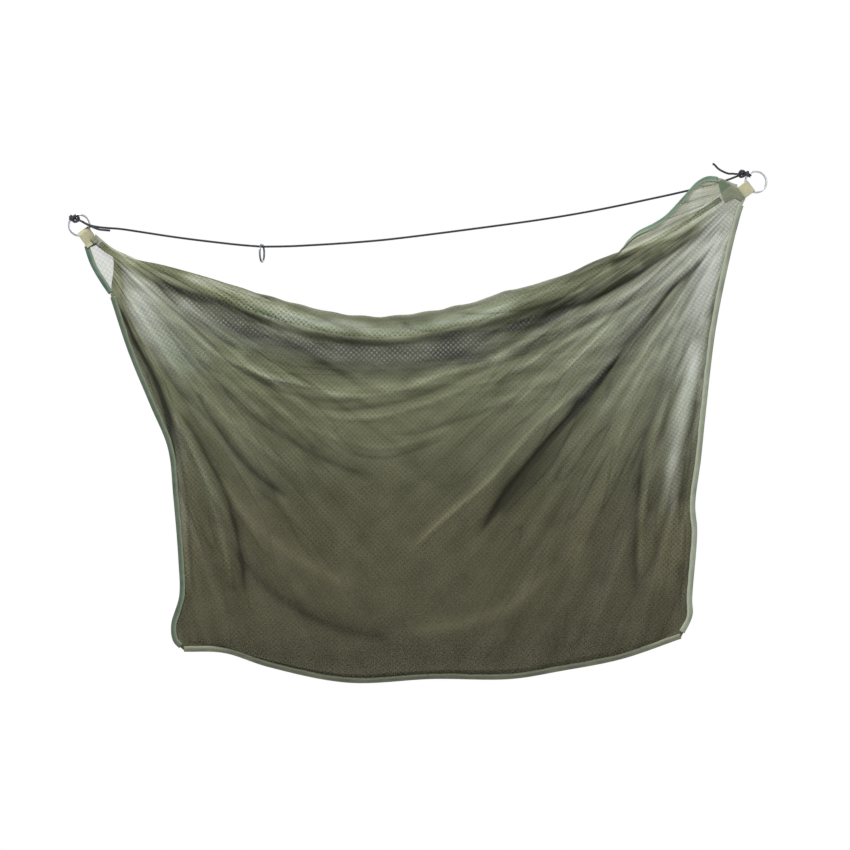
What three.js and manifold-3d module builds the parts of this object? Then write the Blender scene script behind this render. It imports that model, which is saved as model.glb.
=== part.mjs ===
// Mesh carp sack, hung by its two corner rings with a draw cord tied between them.
// Two mesh panels are sewn together down both sides and along the bottom. The mouth is open along the top.
// Millimetres, +Z up. The viewer looks along +Y, and the origin is the centre of the left ring.
import * as THREE from 'three';
import { mergeVertices } from 'three/addons/utils/BufferGeometryUtils.js';
import Module from 'manifold-3d';

const wasm = await Module();
wasm.setup();

// Driving dimensions of the sack
const ringSpan = 1184;
const ringRise = 75.6;
const sackDrop = 800;
const bellyDepth = 84;
const mouthHalfGap = 30;
const meshThickness = 1.2;
const layerGap = 0.3;

// Hem that is turned into the mouth
const hemRadius = 3;
const hemTurn = THREE.MathUtils.degToRad(172);
const hemLength = 42;

// Binding tape, folded over the cut edges
const bindingWidth = 9;
const bindingThickness = 0.9;
const bindingClearance = 0.35;

// Corner fittings
const ringEye = 33;
const ringWire = 3.6;
const slideRingEye = 27;
const slideRingWire = 3.4;
const slideRingTurn = THREE.MathUtils.degToRad(78);
const webbingWidth = 23;
const webbingThickness = 1.5;
const ringClearance = 0.35;
const tabReach = 31.8;
const tabSewnLength = 9;
const tabCloseLength = 11;
const cornerHalfWidth = 12;
const patchThickness = 1;
const cornerFlatRadius = 70;
const cornerBlendLength = 26;
const mouthOpenRadius = 190;
const seamWidth = 17;
const tapeStartGap = 14;
const tapeEndGap = 9;

// Cord and knots
const cordDiameter = 3.6;
const knotCordDiameter = 3.4;
const knotRadius = 3.8;
const hitchClearance = 0.35;
const cordGap = 0.5;

// Directions from each ring towards the sack, and of the hitches round the rings
const leftTabAngle = THREE.MathUtils.degToRad(-54.7);
const rightTabAngle = THREE.MathUtils.degToRad(-143);
const leftHitchAngle = THREE.MathUtils.degToRad(137);
const rightHitchAngle = THREE.MathUtils.degToRad(135);

// Lumps of the knots from their ring's centre, as shares of the ring's eye
const leftLumpShares = [-0.164, -0.23, 0.324];
const rightLumpShares = [-0.742, 0, 0.424];

// Outlines as shares: across in ring spans, up in sack drops from the line between the rings
const mouthEndShares = [[0.0173, -0.0865], [0.035, -0.133], [0.0469, -0.1593]];
const windowShares = [
  [0.0321, -0.0496], [0.0491, -0.0742], [0.0505, -0.1028], [0.0479, -0.131], [0.0469, -0.1593],
];
const leftSideShares = [
  [0.0469, -0.1593], [0.0743, -0.2844], [0.106, -0.4011], [0.1326, -0.4999], [0.1407, -0.6079],
  [0.1482, -0.7464], [0.1494, -0.8252], [0.1375, -0.8874], [0.1405, -0.9227], [0.1548, -0.945],
];
const bottomShares = [
  [0.1548, -0.945], [0.2139, -0.9534], [0.2804, -0.9907], [0.3971, -1.0357], [0.5228, -1.0395],
  [0.6381, -1.0504], [0.7105, -1.0401], [0.8007, -1.0224], [0.8893, -0.9859],
];
const rightSideShares = [
  [0.978, -0.057], [0.9585, -0.1711], [0.9387, -0.318], [0.9233, -0.509], [0.9171, -0.5981],
  [0.9086, -0.6979], [0.9115, -0.7551], [0.9041, -0.9031], [0.9046, -0.9384], [0.8893, -0.9859],
];
const foldLineShares = [
  [0.0513, -0.0613], [0.0845, -0.0863], [0.1193, -0.101], [0.1784, -0.1302], [0.2686, -0.1796],
  [0.3745, -0.2305], [0.448, -0.2464], [0.5627, -0.2336], [0.6289, -0.211], [0.7001, -0.1887],
  [0.7711, -0.1501], [0.8066, -0.1348], [0.8361, -0.1245], [0.8642, -0.1075], [0.9012, -0.0738],
  [0.9263, -0.0433], [0.9499, -0.0204],
];
const backRimShares = [
  [0.0513, -0.0602], [0.0845, -0.0885], [0.1784, -0.1367], [0.2686, -0.1879], [0.3745, -0.2406],
  [0.448, -0.2574], [0.5627, -0.2441], [0.6289, -0.2209], [0.7711, -0.1599], [0.8287, -0.1238],
  [0.8731, -0.0908], [0.9174, -0.0556], [0.9499, -0.0259],
];

// Along the mouth, from left to right: share of the span, hem length share and how far it is turned in
const hemShares = [
  [0, 0.08, 0], [0.05, 0.1, 0], [0.085, 0.25, 1], [0.14, 0.6, 1], [0.2, 0.9, 1], [0.3, 1, 1],
  [0.74, 1, 1], [0.8, 0.8, 0.55], [0.84, 0.72, 0], [0.87, 0.8, 0], [0.9, 1.1, 0], [0.925, 1.32, 0],
  [0.95, 1.14, 0], [0.975, 0.64, 0], [1, 0.08, 0],
];
const hemBendRows = 3;
const leastInsetShare = 0.33;
const leastBendShare = 0.3;
const mostBendShare = 0.9;

// Folds that run out of a corner: where they end, how wide they are there and how deep, as shares
const leftFoldShares = [
  { end: [0.33, -0.62], width: 0.035, depth: 0.12 },
  { end: [0.2, -0.62], width: 0.03, depth: -0.12 },
];
const rightFoldShares = [
  { end: [0.62, -0.62], width: 0.035, depth: -0.16 },
  { end: [0.7, -0.78], width: 0.04, depth: 0.12 },
  { end: [0.45, -0.45], width: 0.04, depth: 0.13 },
];
const foldRootShare = 0.35;
const foldReachShare = 0.87;
const backFoldShare = 0.6;

// Where rows of the panels lie down the sides, as shares: corner, mouth end and the rows below it
const cornerShare = 0.03;
const mouthRowShares = [0, cornerShare, 0.075, 0.12, 0.145, 0.16];
const mouthEndShare = mouthRowShares.at(-1);
const mouthTapeStartShare = 0.45;
const rightTapeRow = 3;
const rowsBelowMouth = 11;
const columns = 32;
const bellyRowShare = 0.72;
const sideRoundingShare = 0.7;
const mouthRoundingShare = 0.35;
const middleDropShare = 0.79;

// Route of the cord between the knots, by hand, as x, y, z; the small ring hangs at one of its points
const slideRingPlace = [319.7, 0, -37.6];
const cordRoute = [
  [5.4, -6, 6.3], [12.6, -6, 2.1], [20, -6, -0.7], [27.5, -6, -2.5], [38.9, -5.5, -4.2], [50.2, -5, -5.2],
  [71.2, -4, -6.7], [113.2, -3, -12.8], [155.2, -2, -19.2], [197.2, -1, -24.9], [239.2, 0, -29.9],
  [281.2, 0, -34.5], slideRingPlace, [365.2, 0, -36.9], [407.2, 0, -34.9], [449.2, 0, -32.4],
  [491.2, 0, -29.4], [533.2, 0, -25.7], [575.2, 0, -20.9], [617.2, 0, -15.7], [659.2, 0, -10.3],
  [701.2, 0, -4.8], [743.2, 0, 0.8], [785.2, 0.5, 6.6], [827.2, 1, 12.9], [869.2, 1.5, 19.9],
  [911.2, 2, 27.7], [953.2, 2.5, 36.2], [995.2, 3, 45.2], [1037.2, 3.5, 54.3], [1068.7, 3.5, 61.6],
  [1095, 3.5, 68], [1117.7, 3.5, 74.2], [1133.5, 3, 79.1], [1141.5, 2, 82], [1149.9, 1, 85.2],
];
const leftTailRoute = [
  [5.4, -9.9, 6], [12.6, -9.9, 1.9], [20, -9.8, -1.8], [27.5, -9, -5.2], [36.2, -6.8, -8],
  [45, -5.8, -8.9], [54.5, -5, -9.7],
];
const rightTailRoute = [
  [1148.2, -0.5, 89.6], [1142, -1, 90.1], [1136.4, -1.5, 90.1], [1126.7, -2, 93.6], [1118.3, -2, 98.5],
  [1111.7, -2, 105.3], [1108.2, -2, 107.8],
];

// Numbers of facets
const cordSides = 8;
const ringSides = 10;
const ringSteps = 36;
const hitchSteps = 16;
const knotSteps = 42;
const loopSteps = 10;
const cordStepsPerPoint = 2;

const up = new THREE.Vector3(0, 0, 1);
const back = new THREE.Vector3(0, 1, 0);

// A point of an outline from its shares
const place = ([across, rise]) =>
  new THREE.Vector3(across * ringSpan, 0, across * ringRise + rise * sackDrop);

const smooth = THREE.MathUtils.smoothstep;

// The frame of a corner: its ring's centre, the way to the sack and the way to the mouth
function cornerFrame(centre, angle, mouthSide) {
  const along = new THREE.Vector3(Math.cos(angle), 0, Math.sin(angle));
  const aside = new THREE.Vector3(-along.z, 0, along.x).multiplyScalar(mouthSide);
  const across = new THREE.Vector3().crossVectors(along, aside);
  const point = (s, t) => centre.clone().addScaledVector(along, s).addScaledVector(aside, t);
  const basis = new THREE.Matrix4().makeBasis(along, aside, across).setPosition(centre);
  return { centre, along, aside, point, basis };
}

const leftCorner = cornerFrame(new THREE.Vector3(0, 0, 0), leftTabAngle, 1);
const rightCorner = cornerFrame(new THREE.Vector3(ringSpan, 0, ringRise), rightTabAngle, -1);

// Sizes that follow from the driving ones
const seamMiddle = (layerGap + meshThickness) / 2;
const tabHalfStack = layerGap / 2 + webbingThickness;
const cornerMiddle = tabHalfStack + layerGap + meshThickness / 2;
const patchMiddle = cornerMiddle + (meshThickness + patchThickness) / 2 + layerGap;
const bindingInside = bindingWidth - bindingThickness - bindingClearance;
const edgeInset = bindingInside + layerGap;

// Joins curves end to end; each takes its own stretch of the shares from 0 to 1
function joinedCurve(stretches) {
  return (share) => {
    let start = 0;
    for (const { curve, until } of stretches) {
      if (share <= until) return curve.getPointAt((share - start) / (until - start));
      start = until;
    }
    return stretches.at(-1).curve.getPointAt(1);
  };
}

const smoothCurve = (points) => new THREE.CatmullRomCurve3(points, false, 'centripetal');
const straightCurve = (from, to) => new THREE.LineCurve3(from, to);

// The four sides of a panel; the front one has its corner folded away at the left, which leaves a window
function panelSides(topShares, leftShares, leftCornerAside) {
  const topLeft = leftCorner.point(tabReach, cornerHalfWidth);
  const lowLeft = leftCorner.point(tabReach, leftCornerAside);
  const topRight = rightCorner.point(tabReach, cornerHalfWidth);
  const lowRight = rightCorner.point(tabReach, -cornerHalfWidth);
  const top = smoothCurve([topLeft, ...topShares.map(place), topRight]);
  const bottom = smoothCurve(bottomShares.map(place));
  const left = joinedCurve([
    { curve: straightCurve(topLeft, lowLeft), until: cornerShare },
    { curve: smoothCurve([lowLeft, ...leftShares.map(place)]), until: mouthEndShare },
    { curve: smoothCurve(leftSideShares.map(place)), until: 1 },
  ]);
  const right = joinedCurve([
    { curve: straightCurve(topRight, lowRight), until: cornerShare },
    { curve: smoothCurve([lowRight, ...rightSideShares.map(place)]), until: 1 },
  ]);
  const topAt = (share) => top.getPointAt(share);
  const bottomAt = (share) => bottom.getPointAt(share);
  return { topAt, bottomAt, left, right };
}

// A point of the flat patch that the four sides bound
function patchPoint({ topAt, bottomAt, left, right }, across, down) {
  const point = topAt(across).multiplyScalar(1 - down);
  point.addScaledVector(bottomAt(across), down);
  point.addScaledVector(left(down), 1 - across);
  point.addScaledVector(right(down), across);
  point.addScaledVector(topAt(0), -(1 - across) * (1 - down));
  point.addScaledVector(topAt(1), -across * (1 - down));
  point.addScaledVector(bottomAt(0), -(1 - across) * down);
  point.addScaledVector(bottomAt(1), -across * down);
  return point;
}

// Shares at which the panels' columns and rows lie, with one line just inside the binding at each edge
const narrowWidth = place(bottomShares[0]).distanceTo(place(bottomShares.at(-1)));
const sideInsetShare = seamWidth / narrowWidth;
const bottomInsetShare = seamWidth / (middleDropShare * sackDrop);

function columnShares() {
  const shares = [0, sideInsetShare];
  for (let i = 1; i < columns; i += 1) {
    shares.push(sideInsetShare + (1 - 2 * sideInsetShare) * (i / columns));
  }
  return [...shares, 1 - sideInsetShare, 1];
}

function rowShares() {
  const shares = [...mouthRowShares];
  const lowest = 1 - bottomInsetShare;
  for (let i = 1; i <= rowsBelowMouth; i += 1) {
    shares.push(mouthEndShare + (lowest - mouthEndShare) * (i / rowsBelowMouth));
  }
  return [...shares, 1];
}

const across = columnShares();
const down = rowShares();

// How far a fold stands out at a point of the sack
function foldHeight(point, corner, { end, width, depth }) {
  const to = place(end).sub(corner.centre);
  const from = point.clone().sub(corner.centre);
  const along = THREE.MathUtils.clamp(from.dot(to) / to.lengthSq(), 0, 1);
  const aside = from.addScaledVector(to, -along).length();
  const spread = width * ringSpan * (foldRootShare + along);
  return depth * bellyDepth * Math.sin(Math.PI * along) * Math.exp(-((aside / spread) ** 2));
}

// Distance of a panel's middle from the seam plane
function panelDepth(point, acrossShare, downShare) {
  const inner = THREE.MathUtils.clamp((acrossShare - sideInsetShare) / (1 - 2 * sideInsetShare), 0, 1);
  const lower = THREE.MathUtils.clamp(downShare / (1 - bottomInsetShare), 0, 1);
  const swell = Math.sin(Math.PI * inner);
  const nearest = Math.min(point.distanceTo(leftCorner.centre), point.distanceTo(rightCorner.centre));
  const free = smooth(nearest, cornerFlatRadius, mouthOpenRadius);
  const sewn = 1 - smooth(nearest, cornerFlatRadius, cornerFlatRadius + cornerBlendLength);
  const rest = THREE.MathUtils.lerp(seamMiddle, cornerMiddle, sewn);
  const mouth = mouthHalfGap * swell ** mouthRoundingShare;
  const belly = bellyDepth * swell ** sideRoundingShare;
  let depth = THREE.MathUtils.lerp(mouth, belly, smooth(lower, 0, bellyRowShare));
  if (lower > bellyRowShare) {
    depth = belly * Math.sqrt(1 - ((lower - bellyRowShare) / (1 - bellyRowShare)) ** 2);
  }
  return rest + free * Math.max(depth, 0);
}

// Fold depth of the front, or of the back with its own share of it
function foldDepth(point, acrossShare, downShare) {
  const edge = Math.sin(Math.PI * acrossShare) * Math.sin(Math.PI * Math.min(downShare / foldReachShare, 1));
  const heights = [
    ...leftFoldShares.map((fold) => foldHeight(point, leftCorner, fold)),
    ...rightFoldShares.map((fold) => foldHeight(point, rightCorner, fold)),
  ];
  return edge * heights.reduce((sum, height) => sum + height, 0);
}

// Looks up the hem's length and turn at a share across the mouth
function hemAt(acrossShare) {
  const next = hemShares.findIndex(([at]) => at >= acrossShare && at > 0);
  const [fromAt, fromLength, fromTurn] = hemShares[next - 1];
  const [toAt, toLength, toTurn] = hemShares[next];
  const part = (acrossShare - fromAt) / (toAt - fromAt);
  return {
    length: hemLength * THREE.MathUtils.lerp(fromLength, toLength, part),
    turn: hemTurn * THREE.MathUtils.lerp(fromTurn, toTurn, part),
  };
}

// A point of the hem at a length past the fold line, which goes round the hem's radius and on straight
function hemPoint(start, length, turn) {
  const arc = hemRadius * turn;
  const angle = Math.min(length, arc) / hemRadius;
  const point = start.clone();
  point.addScaledVector(back, hemRadius * (1 - Math.cos(angle)));
  point.addScaledVector(up, hemRadius * Math.sin(angle));
  const rest = Math.max(length - arc, 0);
  point.addScaledVector(back, rest * Math.sin(turn));
  point.addScaledVector(up, rest * Math.cos(turn));
  return point;
}

// Points of a panel's middle, row by row from the hem or rim down to the bottom seam
function panelGrid(sides, facing, foldShare) {
  return down.map((downShare) => across.map((acrossShare) => {
    const point = patchPoint(sides, acrossShare, downShare);
    const depth = panelDepth(point, acrossShare, downShare);
    const fold = foldShare * foldDepth(point, acrossShare, downShare);
    point.y = facing * Math.max(depth + fold, seamMiddle);
    return point;
  }));
}

// The hem's rows, from its free edge to just above the fold line
function hemRows(foldLine) {
  const hems = foldLine.map((start, i) => ({ start, ...hemAt(across[i]) }));
  const bendShares = Array.from({ length: hemBendRows }, (_, i) => 1 - i / hemBendRows);
  const insetLength = (length) => Math.max(length - edgeInset, length * leastInsetShare);
  const edge = hems.map(({ start, length, turn }) => hemPoint(start, length, turn));
  const inset = hems.map(({ start, length, turn }) => hemPoint(start, insetLength(length), turn));
  const bends = bendShares.map((share) => hems.map(({ start, length, turn }) => {
    const most = insetLength(length);
    const bend = THREE.MathUtils.clamp(hemRadius * turn, most * leastBendShare, most * mostBendShare);
    return hemPoint(start, bend * share, turn);
  }));
  return [edge, inset, ...bends];
}

// Normals of a grid of points, from the lines through each point's neighbours
function gridNormals(grid, facing) {
  const rows = grid.length;
  return grid.map((row, r) => row.map((point, c) => {
    const above = grid[Math.max(r - 1, 0)][c];
    const below = grid[Math.min(r + 1, rows - 1)][c];
    const before = row[Math.max(c - 1, 0)];
    const after = row[Math.min(c + 1, row.length - 1)];
    const fall = below.clone().sub(above);
    const side = after.clone().sub(before);
    return side.cross(fall).normalize().multiplyScalar(-facing);
  }));
}

// A geometry from corner points and the triangles between them
function solidOf(points, triangles) {
  const geometry = new THREE.BufferGeometry();
  geometry.setAttribute('position', new THREE.Float32BufferAttribute(points.flatMap((p) => p.toArray()), 3));
  geometry.setIndex(triangles.flat());
  geometry.computeVertexNormals();
  return geometry;
}

// A sheet of one thickness round a grid of its middle points
function sheetSolid(grid, normals, thickness, facing) {
  const rows = grid.length;
  const width = grid[0].length;
  const shifted = (distance) => grid.flatMap((row, r) => row.map((point, c) =>
    point.clone().addScaledVector(normals[r][c], distance)));
  const outer = shifted(thickness / 2);
  const inner = shifted(-thickness / 2);
  const count = rows * width;
  const triangles = [];
  const quad = (a, b, c, d) => {
    const corners = facing > 0 ? [[a, b, c], [a, c, d]] : [[a, c, b], [a, d, c]];
    triangles.push(...corners);
  };
  for (let r = 0; r < rows - 1; r += 1) {
    for (let c = 0; c < width - 1; c += 1) {
      const a = r * width + c;
      quad(a, a + 1, a + width + 1, a + width);
      quad(count + a, count + a + width, count + a + width + 1, count + a + 1);
    }
  }
  for (let c = 0; c < width - 1; c += 1) {
    const low = (rows - 1) * width + c;
    quad(c + 1, c, count + c, count + c + 1);
    quad(low, low + 1, count + low + 1, count + low);
  }
  for (let r = 0; r < rows - 1; r += 1) {
    const first = r * width;
    const last = first + width - 1;
    quad(first, first + width, count + first + width, count + first);
    quad(last + width, last, count + last, count + last + width);
  }
  return solidOf([...outer, ...inner], triangles);
}

// The folded tape's section, as distances inward from the cloth's edge and out from its middle
function bindingSection(halfStack) {
  const slot = halfStack + bindingClearance;
  const outside = slot + bindingThickness;
  const edge = -bindingClearance;
  const wrap = edge - bindingThickness;
  return [
    [bindingInside, outside], [edge, outside], [wrap, slot], [wrap, -slot], [edge, -outside],
    [bindingInside, -outside], [bindingInside, -slot], [edge, -slot], [edge, slot], [bindingInside, slot],
  ];
}

// Sweeps the tape's section along stations, each an edge point with its inward way and its normal
function bindingSolid(stations, halfStack) {
  const section = bindingSection(halfStack);
  const sides = section.length;
  const [first, second] = stations;
  const turnWay = first.inward.clone().cross(first.normal);
  const reversed = turnWay.dot(second.edge.clone().sub(first.edge)) < 0;
  const points = stations.flatMap(({ edge, inward, normal }) => section.map(([inside, outside]) =>
    edge.clone().addScaledVector(inward, inside).addScaledVector(normal, outside)));
  const triangles = [];
  const push = (a, b, c) => triangles.push(reversed ? [a, c, b] : [a, b, c]);
  for (let k = 0; k < stations.length - 1; k += 1) {
    for (let i = 0; i < sides; i += 1) {
      const next = (i + 1) % sides;
      const a = k * sides + i;
      const b = k * sides + next;
      const outward = section[i][0] > section[next][0];
      push(a, b, outward ? a + sides : b + sides);
      push(outward ? b : a, b + sides, a + sides);
    }
  }
  const outline = section.map(([x, y]) => new THREE.Vector2(x, y));
  const end = (stations.length - 1) * sides;
  for (const [a, b, c] of THREE.ShapeUtils.triangulateShape(outline, [])) {
    push(c, b, a);
    push(end + a, end + b, end + c);
  }
  return solidOf(points, triangles);
}

// A station between two others
function stationBetween(from, to, share) {
  return {
    edge: from.edge.clone().lerp(to.edge, share),
    inward: from.inward.clone().lerp(to.inward, share).normalize(),
    normal: from.normal.clone().lerp(to.normal, share).normalize(),
  };
}

// Stations on a line of edge points, facing the line of points beside it
function stationsAlong(edges, inners, normals) {
  return edges.map((edge, i) => {
    const inward = inners[i].clone().sub(edge).normalize();
    return { edge, inward, normal: normals[i] };
  });
}

// Turns each station square to the edge, for edges that lie in one plane
function squared(stations) {
  return stations.map(({ edge, inward, normal }, i) => {
    const before = stations[Math.max(i - 1, 0)].edge;
    const after = stations[Math.min(i + 1, stations.length - 1)].edge;
    const way = after.clone().sub(before).normalize();
    const square = inward.clone().addScaledVector(way, -inward.dot(way)).normalize();
    return { edge, inward: square, normal };
  });
}

// Both panels, as grids of their middle points
const frontSides = panelSides(foldLineShares, windowShares, 0);
const backSides = panelSides(backRimShares, mouthEndShares, -cornerHalfWidth);
const frontBody = panelGrid(frontSides, -1, 1);
const frontGrid = [...hemRows(frontBody[0]), ...frontBody];
const backGrid = panelGrid(backSides, 1, backFoldShare);

function frontPanel() {
  return sheetSolid(frontGrid, gridNormals(frontGrid, -1), meshThickness, 1);
}

function backPanel() {
  return sheetSolid(backGrid, gridNormals(backGrid, 1), meshThickness, -1);
}

// A rim's tape covers the columns that are clear of the patches at both corners
function rimBinding(grid, facing, isLongEnough) {
  const normals = gridNormals(grid, facing);
  const clear = (point) => point.distanceTo(leftCorner.centre) > patchReach(leftPatchShares)
    && point.distanceTo(rightCorner.centre) > patchReach(rightFrontPatchShares);
  const stations = stationsAlong(grid[0], grid[1], normals[0]);
  const covered = stations.filter(({ edge }, c) => clear(edge) && isLongEnough(c));
  return bindingSolid(covered, meshThickness / 2);
}

// The hem carries its tape only where it reaches past its own bend
function hemIsLongEnough(column) {
  const { length, turn } = hemAt(across[column]);
  return length > hemRadius * turn + edgeInset;
}

// The back rim goes on round the left corner and down the side to the mouth's end
function mouthEndBinding() {
  const column = (c) => backGrid.slice(0, mouthRowShares.length).map((row) => row[c]);
  const normals = gridNormals(backGrid, 1).map((row) => row[0]);
  const stations = stationsAlong(column(0), column(1), normals);
  const start = stationBetween(stations[1], stations[2], mouthTapeStartShare);
  return bindingSolid([start, ...stations.slice(2, -1)], meshThickness / 2);
}

// Stations of a tape over both panels' edges, in the plane of the seam
function seamStations(edges, inners) {
  const flat = ({ x, z }) => new THREE.Vector3(x, 0, z);
  return squared(stationsAlong(edges.map(flat), inners.map(flat), edges.map(() => back)));
}

const seamHalfStack = layerGap / 2 + meshThickness;

function sideBinding(column, innerColumn, firstRow) {
  const rows = backGrid.slice(firstRow);
  const stations = seamStations(rows.map((row) => row[column]), rows.map((row) => row[innerColumn]));
  const [first, second] = stations;
  const low = stations.at(-2);
  const lowest = stations.at(-1);
  const startShare = tapeStartGap / first.edge.distanceTo(second.edge);
  const endShare = 1 - tapeEndGap / low.edge.distanceTo(lowest.edge);
  const start = stationBetween(first, second, startShare);
  const end = stationBetween(low, lowest, endShare);
  return bindingSolid([start, ...stations.slice(1, -1), end], seamHalfStack);
}

function bottomBinding() {
  const stations = seamStations(backGrid.at(-1), backGrid.at(-2));
  return bindingSolid(stations, seamHalfStack);
}

// Corner patches in their corner's frame, as shares of the webbing's width past the tab's end and aside
const rightPatchShares = [
  [0, 0.5], [0, -0.5], [0.4, -0.5], [0.63, -0.03], [1.45, 0.13], [1.22, 0.9], [0.24, 0.82],
];
const rightFrontPatchShares = [
  [0, 0.5], [0, -0.5], [0.4, -0.5], [0.63, -0.03], [1.45, 0.13], [1.3, 0.85], [0.9, 1.75], [0.6, 1.7],
  [0.36, 1.2], [0.2, 0.78],
];
const leftPatchShares = [[0, 0.5], [0, -0.5], [0.42, -0.42], [0.55, 0.1], [0.42, 0.5]];
const leftFrontPatchShares = [[0, 0.5], [0, 0.04], [0.42, 0.12], [0.5, 0.3], [0.42, 0.5]];

function patchOutline(shares) {
  return shares.map(([far, aside]) => new THREE.Vector2(
    tabReach + layerGap + far * webbingWidth, aside * webbingWidth));
}

// How far a patch reaches from its ring's centre
function patchReach(shares) {
  return Math.max(...patchOutline(shares).map((point) => point.length()));
}

function cornerPatch(corner, shares, facing) {
  const outline = patchOutline(shares);
  const geometry = new THREE.ExtrudeGeometry(new THREE.Shape(outline), {
    depth: patchThickness, bevelEnabled: false,
  });
  geometry.translate(0, 0, -patchThickness / 2);
  geometry.applyMatrix4(corner.basis);
  geometry.translate(0, facing * patchMiddle, 0);
  return geometry;
}

// Where the wire of a ring crosses the webbing: the middle of its swing and the room that it takes
const wireNear = Math.sqrt((ringEye / 2) ** 2 - (webbingWidth / 2) ** 2);
const wireFar = ringEye / 2 + ringWire;
const loopMiddle = (wireNear + wireFar) / 2;
const loopRadius = (wireFar - wireNear) / 2 + ringClearance;

// One side of the tab's section, round the loop from one leg to the other
function tabCurve(radius, legHeight, turns) {
  const closeAt = loopMiddle + loopRadius + tabCloseLength;
  const reach = Math.hypot(closeAt - loopMiddle, legHeight);
  const touch = Math.atan2(legHeight, closeAt - loopMiddle) + Math.acos(radius / reach);
  const legAt = (distance, height) => new THREE.Vector2(distance, height);
  const points = [legAt(tabReach + tabSewnLength, legHeight), legAt(closeAt, legHeight)];
  for (let i = 0; i <= loopSteps; i += 1) {
    const angle = THREE.MathUtils.lerp(touch, 2 * Math.PI - touch, i / loopSteps);
    points.push(new THREE.Vector2(loopMiddle + radius * Math.cos(angle), radius * Math.sin(angle)));
  }
  points.push(legAt(closeAt, -legHeight), legAt(tabReach + tabSewnLength, -legHeight));
  return turns ? points.reverse() : points;
}

// A webbing tab: one strip folded round the ring, with both legs between the panels
function webbingTab(corner) {
  const outside = tabCurve(loopRadius + webbingThickness, layerGap / 2 + webbingThickness, false);
  const inside = tabCurve(loopRadius, layerGap / 2, true);
  const geometry = new THREE.ExtrudeGeometry(new THREE.Shape([...outside, ...inside]), {
    depth: webbingWidth, bevelEnabled: false,
  });
  geometry.translate(0, 0, -webbingWidth / 2);
  geometry.rotateX(-Math.PI / 2);
  geometry.applyMatrix4(corner.basis);
  return geometry;
}

function wireRing(eye, wire, steps) {
  return new THREE.TorusGeometry((eye + wire) / 2, wire / 2, ringSides, steps);
}

// A ring that lies in the plane of the tab
function cornerRing(corner) {
  const geometry = wireRing(ringEye, ringWire, ringSteps);
  geometry.rotateX(Math.PI / 2);
  geometry.translate(...corner.centre.toArray());
  return geometry;
}

// The small ring hangs on the cord, turned nearly edge-on to the viewer
function slideRing() {
  const [x, y, z] = slideRingPlace;
  const hang = cordDiameter / 2 + cordGap - slideRingEye / 2;
  const geometry = wireRing(slideRingEye, slideRingWire, ringSteps);
  geometry.rotateX(Math.PI / 2);
  geometry.rotateZ(slideRingTurn);
  geometry.translate(x, y, z + hang);
  return geometry;
}

const vectorsOf = (route) => route.map(([x, y, z]) => new THREE.Vector3(x, y, z));

function roundSection(diameter) {
  const shape = new THREE.Shape();
  shape.absarc(0, 0, diameter / 2, 0, 2 * Math.PI);
  return shape;
}

function cordTube(route) {
  const points = vectorsOf(route);
  return new THREE.ExtrudeGeometry(roundSection(cordDiameter), {
    steps: (points.length - 1) * cordStepsPerPoint,
    curveSegments: cordSides / 2,
    extrudePath: smoothCurve(points),
    bevelEnabled: false,
  });
}

// A solid for cutting and joining, from a geometry with its shared vertices merged
function toManifold(geometry) {
  const bare = geometry.clone();
  bare.deleteAttribute('normal');
  bare.deleteAttribute('uv');
  const merged = mergeVertices(bare);
  const mesh = new wasm.Mesh({
    numProp: 3,
    vertProperties: new Float32Array(merged.attributes.position.array),
    triVerts: new Uint32Array(merged.index.array),
  });
  mesh.merge();
  return new wasm.Manifold(mesh);
}

function fromManifold(solid) {
  const { vertProperties, triVerts } = solid.getMesh();
  const geometry = new THREE.BufferGeometry();
  geometry.setAttribute('position', new THREE.BufferAttribute(new Float32Array(vertProperties), 3));
  geometry.setIndex(new THREE.BufferAttribute(new Uint32Array(triVerts), 1));
  geometry.computeVertexNormals();
  return geometry;
}

// A short straight end of cord out of the knot, which stops just short of a point
function knotStub(knotCentre, end) {
  const way = end.clone().sub(knotCentre);
  const length = way.length() - cordGap;
  const geometry = new THREE.CylinderGeometry(knotCordDiameter / 2, knotCordDiameter / 2, length, cordSides);
  const turn = new THREE.Quaternion().setFromUnitVectors(back, way.clone().normalize());
  geometry.translate(0, length / 2, 0);
  geometry.applyQuaternion(turn);
  geometry.translate(...knotCentre.toArray());
  return geometry;
}

// A knot: a hitch round the ring's wire, the tied lump beside it and the stubs that the cord leaves by
function knot(corner, hitchAngle, lumpCentre, cordEnds) {
  const middle = (ringEye + ringWire) / 2;
  const out = new THREE.Vector3(Math.cos(hitchAngle), 0, Math.sin(hitchAngle));
  const wireWay = new THREE.Vector3(-out.z, 0, out.x);
  const hitchMiddle = ringWire / 2 + hitchClearance + knotCordDiameter / 2;
  const hitch = new THREE.TorusGeometry(hitchMiddle, knotCordDiameter / 2, cordSides, hitchSteps);
  const hitchCentre = corner.centre.clone().addScaledVector(out, middle);
  hitch.applyQuaternion(new THREE.Quaternion().setFromUnitVectors(up, wireWay));
  hitch.translate(...hitchCentre.toArray());
  const lump = new THREE.TorusKnotGeometry(knotRadius, knotCordDiameter / 2, knotSteps, cordSides);
  lump.rotateX(Math.PI / 2);
  lump.translate(...lumpCentre.toArray());
  const towards = lumpCentre.clone().sub(hitchCentre);
  towards.addScaledVector(wireWay, -towards.dot(wireWay)).setLength(hitchMiddle);
  let solid = toManifold(lump).add(toManifold(hitch));
  for (const end of [hitchCentre.add(towards), ...cordEnds]) {
    solid = solid.add(toManifold(knotStub(lumpCentre, end)));
  }
  return fromManifold(solid);
}

function cornerKnot(corner, hitchAngle, lumpShares, ends) {
  const offset = new THREE.Vector3(...lumpShares).multiplyScalar(ringEye);
  return knot(corner, hitchAngle, corner.centre.clone().add(offset), vectorsOf(ends));
}

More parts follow.
